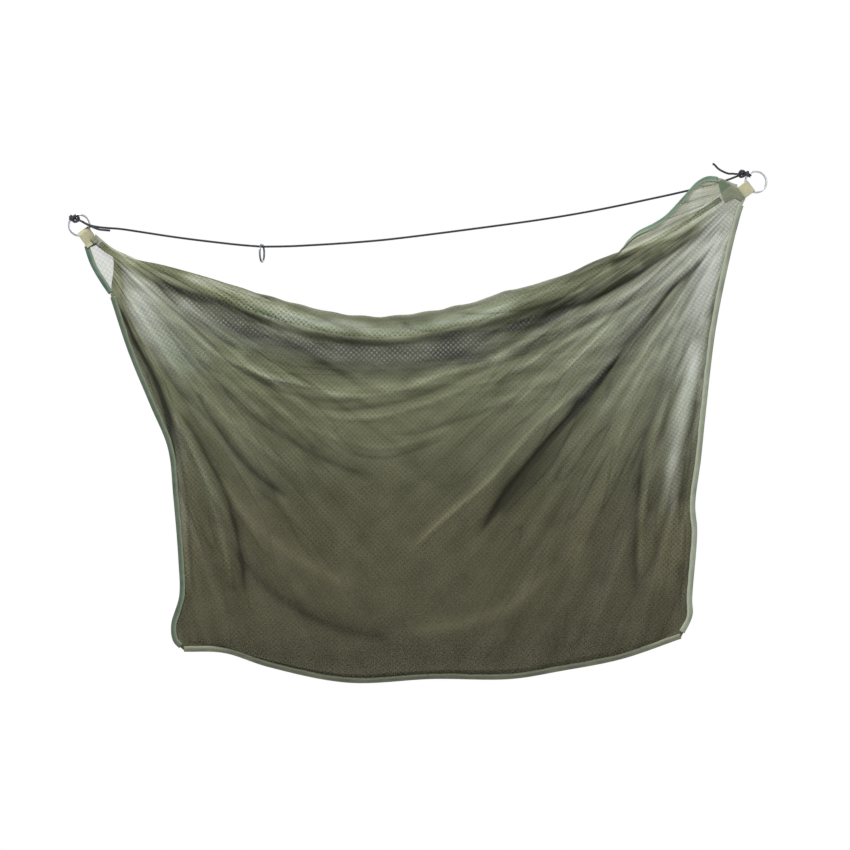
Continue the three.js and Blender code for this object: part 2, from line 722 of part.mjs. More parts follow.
// Materials
function paint(color, roughness, metalness = 0) {
  return new THREE.MeshStandardMaterial({ color, roughness, metalness });
}
const mesh = () => paint('#6f7458', 0.9);
const tape = () => paint('#4d6b52', 0.75);
const cloth = () => paint('#7d8069', 0.85);
const webbing = () => paint('#b3ae84', 0.85);
const steel = () => paint('#c3c6ca', 0.25, 1);
const cord = () => paint('#1f2226', 0.7);

const lastColumn = across.length - 1;
const mouthEndRow = mouthRowShares.length - 1;
const leftKnotEnds = [cordRoute[0], leftTailRoute[0]];
const rightKnotEnds = [cordRoute.at(-1), rightTailRoute[0]];
const parts = [
  ['front_panel', frontPanel(), mesh()],
  ['back_panel', backPanel(), mesh()],
  ['front_rim_binding', rimBinding(frontGrid, -1, hemIsLongEnough), tape()],
  ['back_rim_binding', rimBinding(backGrid, 1, () => true), tape()],
  ['mouth_end_binding', mouthEndBinding(), tape()],
  ['left_side_binding', sideBinding(0, 1, mouthEndRow), tape()],
  ['right_side_binding', sideBinding(lastColumn, lastColumn - 1, rightTapeRow), tape()],
  ['bottom_binding', bottomBinding(), tape()],
  ['left_front_patch', cornerPatch(leftCorner, leftFrontPatchShares, -1), cloth()],
  ['left_back_patch', cornerPatch(leftCorner, leftPatchShares, 1), cloth()],
  ['right_front_patch', cornerPatch(rightCorner, rightFrontPatchShares, -1), cloth()],
  ['right_back_patch', cornerPatch(rightCorner, rightPatchShares, 1), cloth()],
  ['left_webbing_tab', webbingTab(leftCorner), webbing()],
  ['right_webbing_tab', webbingTab(rightCorner), webbing()],
  ['left_ring', cornerRing(leftCorner), steel()],
  ['right_ring', cornerRing(rightCorner), steel()],
  ['slide_ring', slideRing(), steel()],
  ['draw_cord', cordTube(cordRoute), cord()],
  ['left_cord_tail', cordTube(leftTailRoute), cord()],
  ['right_cord_tail', cordTube(rightTailRoute), cord()],
  ['left_knot', cornerKnot(leftCorner, leftHitchAngle, leftLumpShares, leftKnotEnds), cord()],
  ['right_knot', cornerKnot(rightCorner, rightHitchAngle, rightLumpShares, rightKnotEnds), cord()],
];

const sack = new THREE.Group();
for (const [name, geometry, material] of parts) {
  const part = new THREE.Mesh(geometry, material);
  part.name = name;
  sack.add(part);
}

export default sack;
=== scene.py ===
# Looks of the mesh carp sack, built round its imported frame.
# Metres, +Z up. The viewer looks along +Y, and the origin is the centre of the left ring.
import math

import bpy
import numpy as np
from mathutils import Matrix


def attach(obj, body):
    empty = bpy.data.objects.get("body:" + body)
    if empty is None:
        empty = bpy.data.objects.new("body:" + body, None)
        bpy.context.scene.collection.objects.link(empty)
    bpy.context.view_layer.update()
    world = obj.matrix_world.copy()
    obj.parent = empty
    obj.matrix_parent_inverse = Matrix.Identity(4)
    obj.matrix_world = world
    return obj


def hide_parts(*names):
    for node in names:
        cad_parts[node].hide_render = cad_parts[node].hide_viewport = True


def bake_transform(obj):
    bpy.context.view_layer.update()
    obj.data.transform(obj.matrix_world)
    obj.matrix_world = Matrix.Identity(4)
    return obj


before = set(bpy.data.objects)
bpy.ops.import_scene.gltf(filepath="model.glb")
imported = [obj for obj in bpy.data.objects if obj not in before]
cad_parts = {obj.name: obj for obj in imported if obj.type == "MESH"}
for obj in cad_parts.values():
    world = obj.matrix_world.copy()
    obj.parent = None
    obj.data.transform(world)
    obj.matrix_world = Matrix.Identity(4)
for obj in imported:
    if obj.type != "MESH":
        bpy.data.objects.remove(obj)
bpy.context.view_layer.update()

MM = 0.001

# Photograph: its scale, its middle and where the left ring's centre lies in it
pixel_size = 1.75 * MM
ring_centre_px = (79.3, 225.2)
image_middle_px = (425, 425)
camera_distance = 6.0
sensor_width_mm = 36

# Driving sizes, as in the part's source
ring_span = 1184 * MM
ring_rise = 75.6 * MM
sack_drop = 800 * MM
belly_depth = 84 * MM
mouth_half_gap = 30 * MM
mesh_thickness = 1.2 * MM
layer_gap = 0.3 * MM
hem_radius = 3 * MM
hem_turn = math.radians(172)
hem_length = 42 * MM
binding_width = 9 * MM
binding_thickness = 0.9 * MM
binding_clearance = 0.35 * MM
ring_eye = 33 * MM
ring_wire = 3.6 * MM
slide_ring_eye = 27 * MM
slide_ring_wire = 3.4 * MM
slide_ring_turn = math.radians(78)
webbing_width = 23 * MM
webbing_thickness = 1.5 * MM
ring_clearance = 0.35 * MM
tab_reach = 31.8 * MM
tab_sewn_length = 9 * MM
tab_close_length = 11 * MM
corner_half_width = 12 * MM
patch_thickness = 1 * MM
corner_flat_radius = 70 * MM
corner_blend_length = 26 * MM
mouth_open_radius = 190 * MM
seam_width = 17 * MM
cord_diameter = 3.6 * MM
knot_cord_diameter = 3.4 * MM
cord_gap = 0.5 * MM
left_tab_angle = math.radians(-54.7)
right_tab_angle = math.radians(-143)
left_hitch_angle = math.radians(137)
right_hitch_angle = math.radians(135)

# Outlines as shares: across in ring spans, up in sack drops from the line between the rings
# A scratch program turned points of the photograph into most of these shares
mouth_end_shares = [(0.0173, -0.0865), (0.035, -0.133), (0.0469, -0.1593)]
window_shares = [(0.0321, -0.0496), (0.0491, -0.0742), (0.0505, -0.1028), (0.0479, -0.131), (0.0469, -0.1593)]
left_side_shares = [
    (0.0469, -0.1593), (0.0743, -0.2844), (0.106, -0.4011), (0.1326, -0.4999), (0.1407, -0.6079),
    (0.1482, -0.7464), (0.1494, -0.8252), (0.1375, -0.8874), (0.1405, -0.9227), (0.1548, -0.945),
]
bottom_shares = [
    (0.1548, -0.945), (0.2139, -0.9534), (0.2804, -0.9907), (0.3971, -1.0357), (0.5228, -1.0395),
    (0.6381, -1.0504), (0.7105, -1.0401), (0.8007, -1.0224), (0.8893, -0.9859),
]
right_side_shares = [
    (0.978, -0.057), (0.9585, -0.1711), (0.9387, -0.318), (0.9233, -0.509), (0.9171, -0.5981),
    (0.9086, -0.6979), (0.9115, -0.7551), (0.9041, -0.9031), (0.9046, -0.9384), (0.8893, -0.9859),
]
fold_line_shares = [
    (0.0513, -0.0613), (0.0845, -0.0863), (0.1193, -0.101), (0.1784, -0.1302), (0.2686, -0.1796),
    (0.3745, -0.2305), (0.448, -0.2464), (0.5627, -0.2336), (0.6289, -0.211), (0.7001, -0.1887),
    (0.7711, -0.1501), (0.8066, -0.1348), (0.8361, -0.1245), (0.8642, -0.1075), (0.9012, -0.0738),
    (0.9263, -0.0433), (0.9499, -0.0204),
]
back_rim_shares = [
    (0.0513, -0.0602), (0.0845, -0.0885), (0.1784, -0.1367), (0.2686, -0.1879), (0.3745, -0.2406),
    (0.448, -0.2574), (0.5627, -0.2441), (0.6289, -0.2209), (0.7711, -0.1599), (0.8287, -0.1238),
    (0.8731, -0.0908), (0.9174, -0.0556), (0.9499, -0.0259),
]

# Along the mouth: share of the span, hem length share and how far it is turned in
hem_shares = [
    (0, 0.08, 0), (0.05, 0.1, 0), (0.085, 0.25, 1), (0.14, 0.6, 1), (0.2, 0.9, 1), (0.3, 1, 1),
    (0.74, 1, 1), (0.8, 0.8, 0.55), (0.84, 0.72, 0), (0.87, 0.8, 0), (0.9, 1.1, 0), (0.925, 1.32, 0),
    (0.95, 1.14, 0), (0.975, 0.64, 0), (1, 0.08, 0),
]
hem_smoothing_share = 0.008
corner_share = 0.03
mouth_end_share = 0.16
belly_row_share = 0.72
side_rounding_share = 0.7
mouth_rounding_share = 0.35
middle_drop_share = 0.79

# Route of the cord between the knots, in millimetres; the small ring hangs at one of its points
# Its middle points follow a scratch program's trace of the cord in the photograph
slide_ring_place = (319.7, 0, -37.6)
left_cord_route = [
    (5.4, -6, 6.3), (12.6, -6, 2.1), (20, -6, -0.7), (27.5, -6, -2.5), (38.9, -5.5, -4.2), (50.2, -5, -5.2),
    (71.2, -4, -6.7), (113.2, -3, -12.8), (155.2, -2, -19.2), (197.2, -1, -24.9), (239.2, 0, -29.9),
    (281.2, 0, -34.5), slide_ring_place,
]
right_cord_route = [
    slide_ring_place, (365.2, 0, -36.9), (407.2, 0, -34.9), (449.2, 0, -32.4),
    (491.2, 0, -29.4), (533.2, 0, -25.7), (575.2, 0, -20.9), (617.2, 0, -15.7), (659.2, 0, -10.3),
    (701.2, 0, -4.8), (743.2, 0, 0.8), (785.2, 0.5, 6.6), (827.2, 1, 12.9), (869.2, 1.5, 19.9),
    (911.2, 2, 27.7), (953.2, 2.5, 36.2), (995.2, 3, 45.2), (1037.2, 3.5, 54.3), (1068.7, 3.5, 61.6),
    (1095, 3.5, 68), (1117.7, 3.5, 74.2), (1133.5, 3, 79.1), (1141.5, 2, 82), (1149.9, 1, 85.2),
]
left_tail_route = [
    (5.4, -9.9, 6), (12.6, -9.9, 1.9), (20, -9.8, -1.8), (27.5, -9, -5.2), (36.2, -6.8, -8),
    (45, -5.8, -8.9), (54.5, -5, -9.7),
]
right_tail_route = [
    (1148.2, -0.5, 89.6), (1142, -1, 90.1), (1136.4, -1.5, 90.1), (1126.7, -2, 93.6), (1118.3, -2, 98.5),
    (1111.7, -2, 105.3), (1108.2, -2, 107.8),
]


# Numbers and curves

X, Y, Z = np.eye(3)
least_length = 1e-12
centripetal_power = 0.5


def place(shares):
    """Points of an outline from its shares."""
    table = np.array(shares, float)
    rise = table[:, 0] * ring_rise + table[:, 1] * sack_drop
    return np.stack([table[:, 0] * ring_span, np.zeros(len(table)), rise], axis=1)


def unit(vectors):
    return vectors / np.maximum(np.linalg.norm(vectors, axis=-1, keepdims=True), least_length)


def square_to(vectors, ways):
    """Unit vectors, with what lies along the ways taken out."""
    return unit(vectors - ways * (vectors * ways).sum(-1, keepdims=True))


def smooth(value, low, high):
    t = np.clip((value - low) / (high - low), 0, 1)
    return t * t * (3 - 2 * t)


def mix(a, b, t):
    return a + (b - a) * t


def run_along(line):
    """Distance along a line of points, at each of them."""
    steps = np.linalg.norm(np.diff(line, axis=0), axis=1)
    return np.concatenate([[0], np.cumsum(steps)])


def at_shares(line, shares):
    """Points of a line at shares of its length."""
    along = run_along(line)
    wanted = np.asarray(shares) * along[-1]
    return np.stack([np.interp(wanted, along, line[:, k]) for k in range(line.shape[1])], axis=1)


def curved(points, per_span=24):
    """A centripetal Catmull-Rom curve through points, as a fine line."""
    p = np.asarray(points, float)
    p = np.vstack([2 * p[0] - p[1], p, 2 * p[-1] - p[-2]])
    line = []
    for a, b, c, d in zip(p, p[1:], p[2:], p[3:]):
        t1 = np.linalg.norm(b - a) ** centripetal_power
        t2 = t1 + np.linalg.norm(c - b) ** centripetal_power
        t3 = t2 + np.linalg.norm(d - c) ** centripetal_power
        t = np.linspace(t1, t2, per_span, endpoint=False)[:, None]
        ab = mix(a, b, t / t1)
        bc = mix(b, c, (t - t1) / (t2 - t1))
        cd = mix(c, d, (t - t2) / (t3 - t2))
        abc = mix(ab, bc, t / t2)
        bcd = mix(bc, cd, (t - t1) / (t3 - t1))
        line.append(mix(abc, bcd, (t - t1) / (t2 - t1)))
    return np.vstack([*line, p[-2]])


def evenly(line, spacing):
    """The same line with points about the spacing apart."""
    count = max(2, round(run_along(line)[-1] / spacing) + 1)
    return at_shares(line, np.linspace(0, 1, count))


def in_metres(route):
    return np.array(route, float) * MM


class Corner:
    """A corner's frame: its ring's centre, the way to the sack and the way to the mouth."""

    def __init__(self, centre, angle, mouth_side):
        self.centre = np.array(centre, float)
        self.along = np.array([math.cos(angle), 0, math.sin(angle)])
        self.aside = mouth_side * np.array([-self.along[2], 0, self.along[0]])
        self.across = np.cross(self.along, self.aside)

    def point(self, along, aside, across=0.0):
        parts = (np.multiply.outer(value, way) for value, way in
                 ((along, self.along), (aside, self.aside), (across, self.across)))
        return self.centre + sum(parts)


left_corner = Corner((0, 0, 0), left_tab_angle, 1)
right_corner = Corner((ring_span, 0, ring_rise), right_tab_angle, -1)

seam_middle = (layer_gap + mesh_thickness) / 2
tab_half_stack = layer_gap / 2 + webbing_thickness
corner_middle = tab_half_stack + layer_gap + mesh_thickness / 2
patch_middle = corner_middle + (mesh_thickness + patch_thickness) / 2 + layer_gap
binding_inside = binding_width - binding_thickness - binding_clearance
edge_inset = binding_inside + layer_gap


def ring_distances(points):
    """Distances of points from the centres of the two corner rings."""
    return [np.linalg.norm(points - corner.centre, axis=-1) for corner in (left_corner, right_corner)]


def rest_middle(points):
    """Distance of a panel's middle from the seam plane where it lies flat: more between the tab's legs."""
    nearest = np.minimum(*ring_distances(points))
    sewn = 1 - smooth(nearest, corner_flat_radius, corner_flat_radius + corner_blend_length)
    return mix(seam_middle, corner_middle, sewn)


# Meshes

def new_piece(name, points, faces, material, body="sack", slot=None, replaces=(), uv=None):
    """A smooth mesh piece; body None leaves it without a parent, as for the loose cords and the stage."""
    mesh = bpy.data.meshes.new(name)
    mesh.from_pydata(np.asarray(points).tolist(), [], faces if isinstance(faces, list) else faces.tolist())
    mesh.validate()
    mesh.polygons.foreach_set("use_smooth", [True] * len(mesh.polygons))
    if uv is not None:
        layer = mesh.uv_layers.new(name="cloth")
        corners = np.zeros(len(mesh.loops), np.int32)
        mesh.loops.foreach_get("vertex_index", corners)
        layer.data.foreach_set("uv", np.asarray(uv, np.float32)[corners].ravel())
    mesh.materials.append(material)
    piece = bpy.data.objects.new(name, mesh)
    bpy.context.scene.collection.objects.link(piece)
    if body:
        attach(piece, body)
    if replaces:
        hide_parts(*replaces)
    return piece


def set_values(piece, name, values):
    """A named number at each point, which a material reads."""
    attribute = piece.data.attributes.new(name, "FLOAT", "POINT")
    attribute.data.foreach_set("value", np.asarray(values, np.float32).ravel())


def grid_faces(rows, columns, flip=False, wrap=False):
    """Quads between the points of a grid."""
    r, c = np.meshgrid(np.arange(rows - 1), np.arange(columns if wrap else columns - 1), indexing="ij")
    after = (c + 1) % columns
    here, below = r * columns, (r + 1) * columns
    quads = np.stack([here + c, here + after, below + after, below + c], axis=-1).reshape(-1, 4)
    return quads[:, ::-1] if flip else quads


def tube_faces(rows, sides, closed=False):
    """Faces round a tube, with its ends joined to each other or capped."""
    faces = grid_faces(rows, sides, wrap=True).tolist()
    last = (rows - 1) * sides
    if closed:
        return faces + [[last + i, last + (i + 1) % sides, (i + 1) % sides, i] for i in range(sides)]
    return faces + [list(range(sides))[::-1], [last + i for i in range(sides)]]


class Build:
    """Gathers parts of one mesh."""

    def __init__(self):
        self.points, self.faces, self.uv, self.count = [], [], [], 0

    def add(self, points, faces, uv=None):
        points = np.asarray(points, float).reshape(-1, 3)
        faces = faces.tolist() if isinstance(faces, np.ndarray) else faces
        self.points.append(points)
        self.uv.append(np.zeros((len(points), 2)) if uv is None else np.asarray(uv, float).reshape(-1, 2))
        self.faces += [[i + self.count for i in face] for face in faces]
        self.count += len(points)

    def piece(self, name, material, **settings):
        points, uv = np.vstack(self.points), np.vstack(self.uv)
        return new_piece(name, points, self.faces, material, uv=uv, **settings)


straight_nudge = 1e-9
upright_limit = 0.1


def tube_frames(line, closed):
    """Two ways square to a line at each of its points, which turn as little as they can."""
    if closed:
        ways = unit(np.roll(line, -1, axis=0) - np.roll(line, 1, axis=0))
        first = np.cross(ways[0], np.cross(ways[0], ways[1] - ways[0] + straight_nudge))
    else:
        ways = unit(np.gradient(line, axis=0))
        first = np.cross(ways[0], Z)
        if np.linalg.norm(first) < upright_limit:
            first = np.cross(ways[0], Y)
    side = unit(first)
    sides = []
    for way in ways:
        side = square_to(side, way)
        sides.append(side)
    sides = np.array(sides)
    return sides, np.cross(ways, sides)


plait_mean_share = 0.7


def tube(build, line, radius, sides=16, plait=None, closed=False):
    """A tube round a line; plait gives the relief, the strands and the length of one turn of a braid."""
    along = run_along(line)
    turns = np.linspace(0, 2 * math.pi, sides, endpoint=False)
    u, v = tube_frames(line, closed)
    size = np.full((len(line), sides), float(radius))
    if plait:
        relief, strands, pitch = plait
        phase = 2 * math.pi * along[:, None] / pitch
        half = strands / 2 * turns[None, :]
        strand = np.maximum(np.abs(np.cos(half + phase)), np.abs(np.cos(half - phase)))
        size = radius * (1 + relief * (strand - plait_mean_share))
    ring = u[:, None] * np.cos(turns)[None, :, None] + v[:, None] * np.sin(turns)[None, :, None]
    points = line[:, None] + ring * size[..., None]
    uv = np.stack(np.broadcast_arrays(along[:, None], turns[None, :]), axis=-1)
    build.add(points, tube_faces(len(line), sides, closed), uv)


# Material graphs

class Nodes:
    """A tree of shader nodes, made from plain calls."""

    def __init__(self, tree):
        self.tree = tree

    def node(self, kind, inputs=None, **settings):
        made = self.tree.nodes.new("ShaderNode" + kind)
        for key, value in settings.items():
            setattr(made, key, value)
        for socket, value in (inputs or {}).items():
            self.put(made.inputs[socket], value)
        return made

    def put(self, socket, value):
        """Joins a socket to another, or sets its number or its colour."""
        if isinstance(value, bpy.types.NodeSocket):
            self.tree.links.new(value, socket)
        else:
            socket.default_value = (*value, 1.0) if isinstance(value, tuple) else value

    def math(self, operation, *values):
        return self.node("Math", dict(enumerate(values)), operation=operation).outputs[0]

    def ramp(self, value, low, high, to_low=0.0, to_high=1.0):
        made = self.node("MapRange", {0: value, 1: low, 2: high, 3: to_low, 4: to_high}, clamp=True)
        return made.outputs[0]


class Graph(Nodes):
    """A material's nodes."""

    def __init__(self, name):
        self.material = bpy.data.materials.new(name)
        self.material.use_nodes = True
        super().__init__(self.material.node_tree)
        self.shader = self.tree.nodes["Principled BSDF"]

    def uv(self):
        split = self.node("SeparateXYZ", {0: self.node("UVMap", uv_map="cloth").outputs[0]})
        return split.outputs[0], split.outputs[1]

    def value(self, name):
        return self.node("Attribute", attribute_name=name).outputs["Fac"]

    def noise(self, scale, detail=3.0, roughness=0.55, vector=None):
        inputs = {"Scale": scale, "Detail": detail, "Roughness": roughness}
        inputs["Vector"] = vector or self.node("TexCoord").outputs["Object"]
        return self.node("TexNoise", inputs).outputs["Fac"]

    def mixed(self, share, a, b, blend="MIX"):
        made = self.node("Mix", {0: share}, data_type="RGBA", blend_type=blend)
        self.put(made.inputs[6], a)
        self.put(made.inputs[7], b)
        return made.outputs[2]

    def bump(self, height, distance, strength=1.0, normal=None):
        inputs = {"Height": height, "Distance": distance, "Strength": strength}
        if normal is not None:
            inputs["Normal"] = normal
        return self.node("Bump", inputs).outputs[0]

    def finish(self, **sockets):
        for name, value in sockets.items():
            self.put(self.shader.inputs[name.replace("_", " ")], value)
        return self.material


mesh_pitch = 6.2 * MM
hole_shape_power = 4
mean_distance_share = 0.385
hole_shade = 0.5
greatest_contrast = 0.9
contrast_per_opening = 3.8
streaks_per_radian = 34.0
creases_per_radian = 15.0
hangs_per_metre = 60.0
streak_changes_per_metre = 3.5
streak_shade = 0.33
crease_shade = 0.38
streak_opening = 0.07
crease_seed_step = 7.0
crease_half_width = 0.028

# Where a noise's middle values begin and end, and the same for a noise that leaves more of the light colour
noise_limits = (0.3, 0.7)
late_noise_limits = (0.35, 0.7)

# The sets of pleats: name, how many to a radian or a metre, and seed
streak_sets = [
    ("left", streaks_per_radian, 1.0), ("right", streaks_per_radian, 2.0), ("hang", hangs_per_metre, 3.0),
]


def streaks(g, across, along, seed):
    """Fine pleats that run along and differ across: light and dark bands, and thin creases between them."""
    run = g.math("MULTIPLY", along, streak_changes_per_metre)
    spot = g.node("CombineXYZ", {0: across, 1: run, 2: seed}).outputs[0]
    band = g.noise(scale=1.0, detail=2.0, vector=spot)
    half = g.math("MULTIPLY", across, creases_per_radian / streaks_per_radian)
    spot = g.node("CombineXYZ", {0: half, 1: run, 2: seed + crease_seed_step}).outputs[0]
    line = g.noise(scale=1.0, detail=1.0, vector=spot)
    from_middle = g.math("ABSOLUTE", g.math("SUBTRACT", line, 0.5))
    crease = g.ramp(from_middle, 0.0, crease_half_width, -crease_shade, 0.0)
    return g.ramp(band, *noise_limits, -1.0, 1.0), crease


def all_streaks(g):
    """The pleats of both corners and those that hang between them, each where it pulls."""
    bands, creases = [], []
    for name, scale, seed in streak_sets:
        pull = g.value(name + "_pull")
        across = g.math("MULTIPLY", g.value(name + "_across"), scale)
        band, crease = streaks(g, across, g.value(name + "_along"), seed)
        bands.append(g.math("MULTIPLY", band, pull))
        creases.append(g.math("MULTIPLY", crease, pull))
    return (g.math("ADD", g.math("ADD", *three[:2]), three[2]) for three in (bands, creases))


low_tone_heights = (-0.32, -0.52)
# Painted highlight: the paler colour the cloth turns to where its painted light is strong, where that begins
# and ends, and how far
lit_mesh = (0.178, 0.188, 0.158)
lit_shades = (0.5, 1.5)
lit_share = 0.7
pale_coverages = (0.8, 0.45)
grain_limits = (0.2, 0.8)
grain_tints = (0.85, 1.12)
hole_shade_until = 0.1
least_shade_and_grain = 0.15
lattice_relief = 1.2 * MM
lattice_strength = 0.5
pleat_relief = 1.5 * MM
pleat_strength = 0.6


def mesh_cloth(name, light, dark, pale, low, pitch, turn):
    """Knitted mesh: threads round holes that finer threads partly fill, as its coverage says."""
    g = Graph(name)
    u, v = g.uv()
    c, s = math.cos(turn) / pitch, math.sin(turn) / pitch
    a = g.math("ADD", g.math("MULTIPLY", u, c), g.math("MULTIPLY", v, s))
    b = g.math("SUBTRACT", g.math("MULTIPLY", v, c), g.math("MULTIPLY", u, s))
    powers = [g.math("POWER", g.math("PINGPONG", value, 0.5), float(hole_shape_power)) for value in (a, b)]
    distance = g.math("POWER", g.math("ADD", *powers), 1 / hole_shape_power)
    lattice = g.math("SUBTRACT", distance, mean_distance_share)
    band, crease = all_streaks(g)
    coverage = g.math("SUBTRACT", g.value("coverage"), g.math("MULTIPLY", band, streak_opening))
    open_share = g.math("SUBTRACT", 1.0, coverage)
    contrast = g.math("MINIMUM", g.math("MULTIPLY", open_share, contrast_per_opening), greatest_contrast)
    contrast = g.math("MULTIPLY", contrast, g.value("sharpness"))
    alpha = g.math("ADD", coverage, g.math("MULTIPLY", lattice, contrast))
    alpha = g.math("MINIMUM", g.math("MAXIMUM", alpha, 0.0), 1.0)
    tone = g.noise(scale=9.0, detail=4.0)
    grain = g.noise(scale=900.0, detail=2.0)
    height = g.node("SeparateXYZ", {0: g.node("TexCoord").outputs["Object"]}).outputs[2]
    base = g.mixed(g.ramp(tone, *late_noise_limits), light, dark)
    base = g.mixed(g.ramp(height, *low_tone_heights), base, low)
    base = g.mixed(g.ramp(coverage, *pale_coverages), base, pale)
    # Painted highlight where the painted light is strong
    base = g.mixed(g.ramp(g.value("shade"), *lit_shades, 0.0, lit_share), base, lit_mesh)
    grained = g.ramp(grain, *grain_limits, *grain_tints)
    # The cloth's painted light and shade from its shade value, times the random grain of its threads
    shade_and_grain = g.math("MULTIPLY", g.math("ADD", g.value("shade"), 1.0), grained)
    # Painted shade in the holes: the colour darkens towards each hole's middle, more where the holes stand
    # out
    painted_hole_shade = g.ramp(lattice, -mean_distance_share, hole_shade_until, hole_shade, 0.0)
    painted_hole_shade = g.math("MULTIPLY", painted_hole_shade, g.value("sharpness"))
    shade_and_grain = g.math("MULTIPLY", shade_and_grain, g.math("SUBTRACT", 1.0, painted_hole_shade))
    # Painted light and shade of the pleats: lighter and darker bands, and darker thin creases
    pleats = g.math("ADD", g.math("MULTIPLY", band, streak_shade), crease)
    shade_and_grain = g.math("MULTIPLY", shade_and_grain, g.math("ADD", pleats, 1.0))
    shade_and_grain = g.math("MAXIMUM", shade_and_grain, least_shade_and_grain)
    grey = g.node("CombineColor", {0: shade_and_grain, 1: shade_and_grain, 2: shade_and_grain}).outputs[0]
    colour = g.mixed(1.0, base, grey, blend="MULTIPLY")
    pleated = g.bump(g.math("ADD", band, crease), pleat_relief, pleat_strength)
    normal = g.bump(lattice, lattice_relief, lattice_strength, pleated)
    return g.finish(Base_Color=colour, Alpha=alpha, Normal=normal, Roughness=0.82,
                    Sheen_Weight=0.03, Sheen_Roughness=0.5, Specular_IOR_Level=0.1)


tape_edge_width = 2.6 * MM
tape_weave_pitch = 0.9 * MM
tape_weave_dark_until = 0.5
tape_weave_dark_share = 0.35
tape_weave_relief_share = 0.25
tape_stitch_pitch = 3.2 * MM
tape_stitch_gap_shares = (0.1, 0.16)
tape_stitch_place = 6.2 * MM
tape_stitch_edges = (0.45 * MM, 0.3 * MM)
tape_relief = 0.35 * MM
tape_strength = 0.7


def tape_cloth(name, light, dark, inner, stitch):
    """Folded tape with a fine slanting weave, a worn inner edge and a row of stitches along it."""
    g = Graph(name)
    u, v = g.uv()
    slant = g.math("ADD", *(g.math("MULTIPLY", way, 1 / tape_weave_pitch) for way in (u, v)))
    weave = g.math("ABSOLUTE", g.math("SINE", g.math("MULTIPLY", slant, math.pi)))
    dash = g.math("PINGPONG", g.math("MULTIPLY", u, 1 / tape_stitch_pitch), 0.5)
    along = g.ramp(dash, *tape_stitch_gap_shares)
    aside = g.math("ABSOLUTE", g.math("SUBTRACT", g.math("ABSOLUTE", v), tape_stitch_place))
    near = g.ramp(aside, *tape_stitch_edges)
    thread = g.math("MULTIPLY", along, near)
    tone = g.noise(scale=25.0, detail=4.0)
    body = g.mixed(g.ramp(tone, *noise_limits), light, dark)
    body = g.mixed(g.ramp(v, tape_edge_width, 2 * tape_edge_width), body, inner)
    woven = g.mixed(g.ramp(weave, 0.0, tape_weave_dark_until, tape_weave_dark_share, 0.0), body, dark)
    colour = g.mixed(thread, woven, stitch)
    height = g.math("ADD", g.math("MULTIPLY", weave, tape_weave_relief_share), thread)
    return g.finish(Base_Color=colour, Normal=g.bump(height, tape_relief, tape_strength), Roughness=0.62,
                    Sheen_Weight=0.25, Sheen_Roughness=0.4, Specular_IOR_Level=0.35)


worn_relief_share = 0.6
weave_dark_share = 0.3
weave_strength = 0.6
fold_shade_from_share = 0.85


def woven_cloth(name, light, dark, thread_pitch, relief, folded=None):
    """Plain weave for the patches and the webbing; folded is the darker colour of a patch's doubled outer
    part, painted shade of its fold.
    """
    g = Graph(name)
    u, v = g.uv()
    warp = g.math("SINE", g.math("MULTIPLY", u, 2 * math.pi / thread_pitch))
    weft = g.math("SINE", g.math("MULTIPLY", v, 2 * math.pi / thread_pitch))
    weave = g.math("MULTIPLY", warp, weft)
    tone = g.noise(scale=40.0, detail=5.0)
    worn = g.noise(scale=160.0, detail=3.0)
    body = g.mixed(g.ramp(tone, *noise_limits), light, dark)
    if folded:
        # Painted shade on the doubled outer part of a patch
        body = g.mixed(g.ramp(v, fold_shade_from_share * webbing_width, webbing_width), body, folded)
    colour = g.mixed(g.ramp(weave, -1.0, 1.0, weave_dark_share, 0.0), body, dark)
    height = g.math("ADD", weave, g.math("MULTIPLY", worn, worn_relief_share))
    return g.finish(Base_Color=colour, Normal=g.bump(height, relief, weave_strength), Roughness=0.8,
                    Sheen_Weight=0.15, Sheen_Roughness=0.5, Specular_IOR_Level=0.3)


twist_pitch = 0.8 * MM
twist_strands = 6.0
twist_relief = 0.12 * MM
twist_strength = 0.6


def thread_finish(name, light, dark):
    """Twisted thread of the stitches and the braid of the cord."""
    g = Graph(name)
    u, v = g.uv()
    run = g.math("MULTIPLY", u, 2 * math.pi / twist_pitch)
    twist = g.math("SINE", g.math("ADD", run, g.math("MULTIPLY", v, twist_strands)))
    tone = g.noise(scale=60.0, detail=4.0)
    colour = g.mixed(g.ramp(tone, *late_noise_limits), light, dark)
    colour = g.mixed(g.ramp(twist, -1.0, 1.0, weave_dark_share, 0.0), colour, dark)
    return g.finish(Base_Color=colour, Normal=g.bump(twist, twist_relief, twist_strength), Roughness=0.7,
                    Sheen_Weight=0.2, Sheen_Roughness=0.4, Specular_IOR_Level=0.35)


tarnish_limits = (0.45, 0.75)
scuff_limits = (0.3, 0.8)
scuff_roughness = (0.18, 0.42)
scuff_relief = 0.03 * MM
scuff_strength = 0.4


def steel_finish(name, light, dark):
    """Polished steel wire with fine scuffs and a little tarnish."""
    g = Graph(name)
    scuff = g.noise(scale=420.0, detail=4.0)
    tarnish = g.noise(scale=55.0, detail=5.0)
    colour = g.mixed(g.ramp(tarnish, *tarnish_limits), light, dark)
    rough = g.ramp(scuff, *scuff_limits, *scuff_roughness)
    normal = g.bump(scuff, scuff_relief, scuff_strength)
    return g.finish(Base_Color=colour, Metallic=1.0, Roughness=rough, Normal=normal)


floor_colours = (0.8, 0.8, 0.8), (0.76, 0.76, 0.76)


def floor_finish():
    g = Graph("pale_floor")
    tone = g.noise(scale=3.0)
    return g.finish(Base_Color=g.mixed(g.ramp(tone, *noise_limits), *floor_colours), Roughness=0.9)


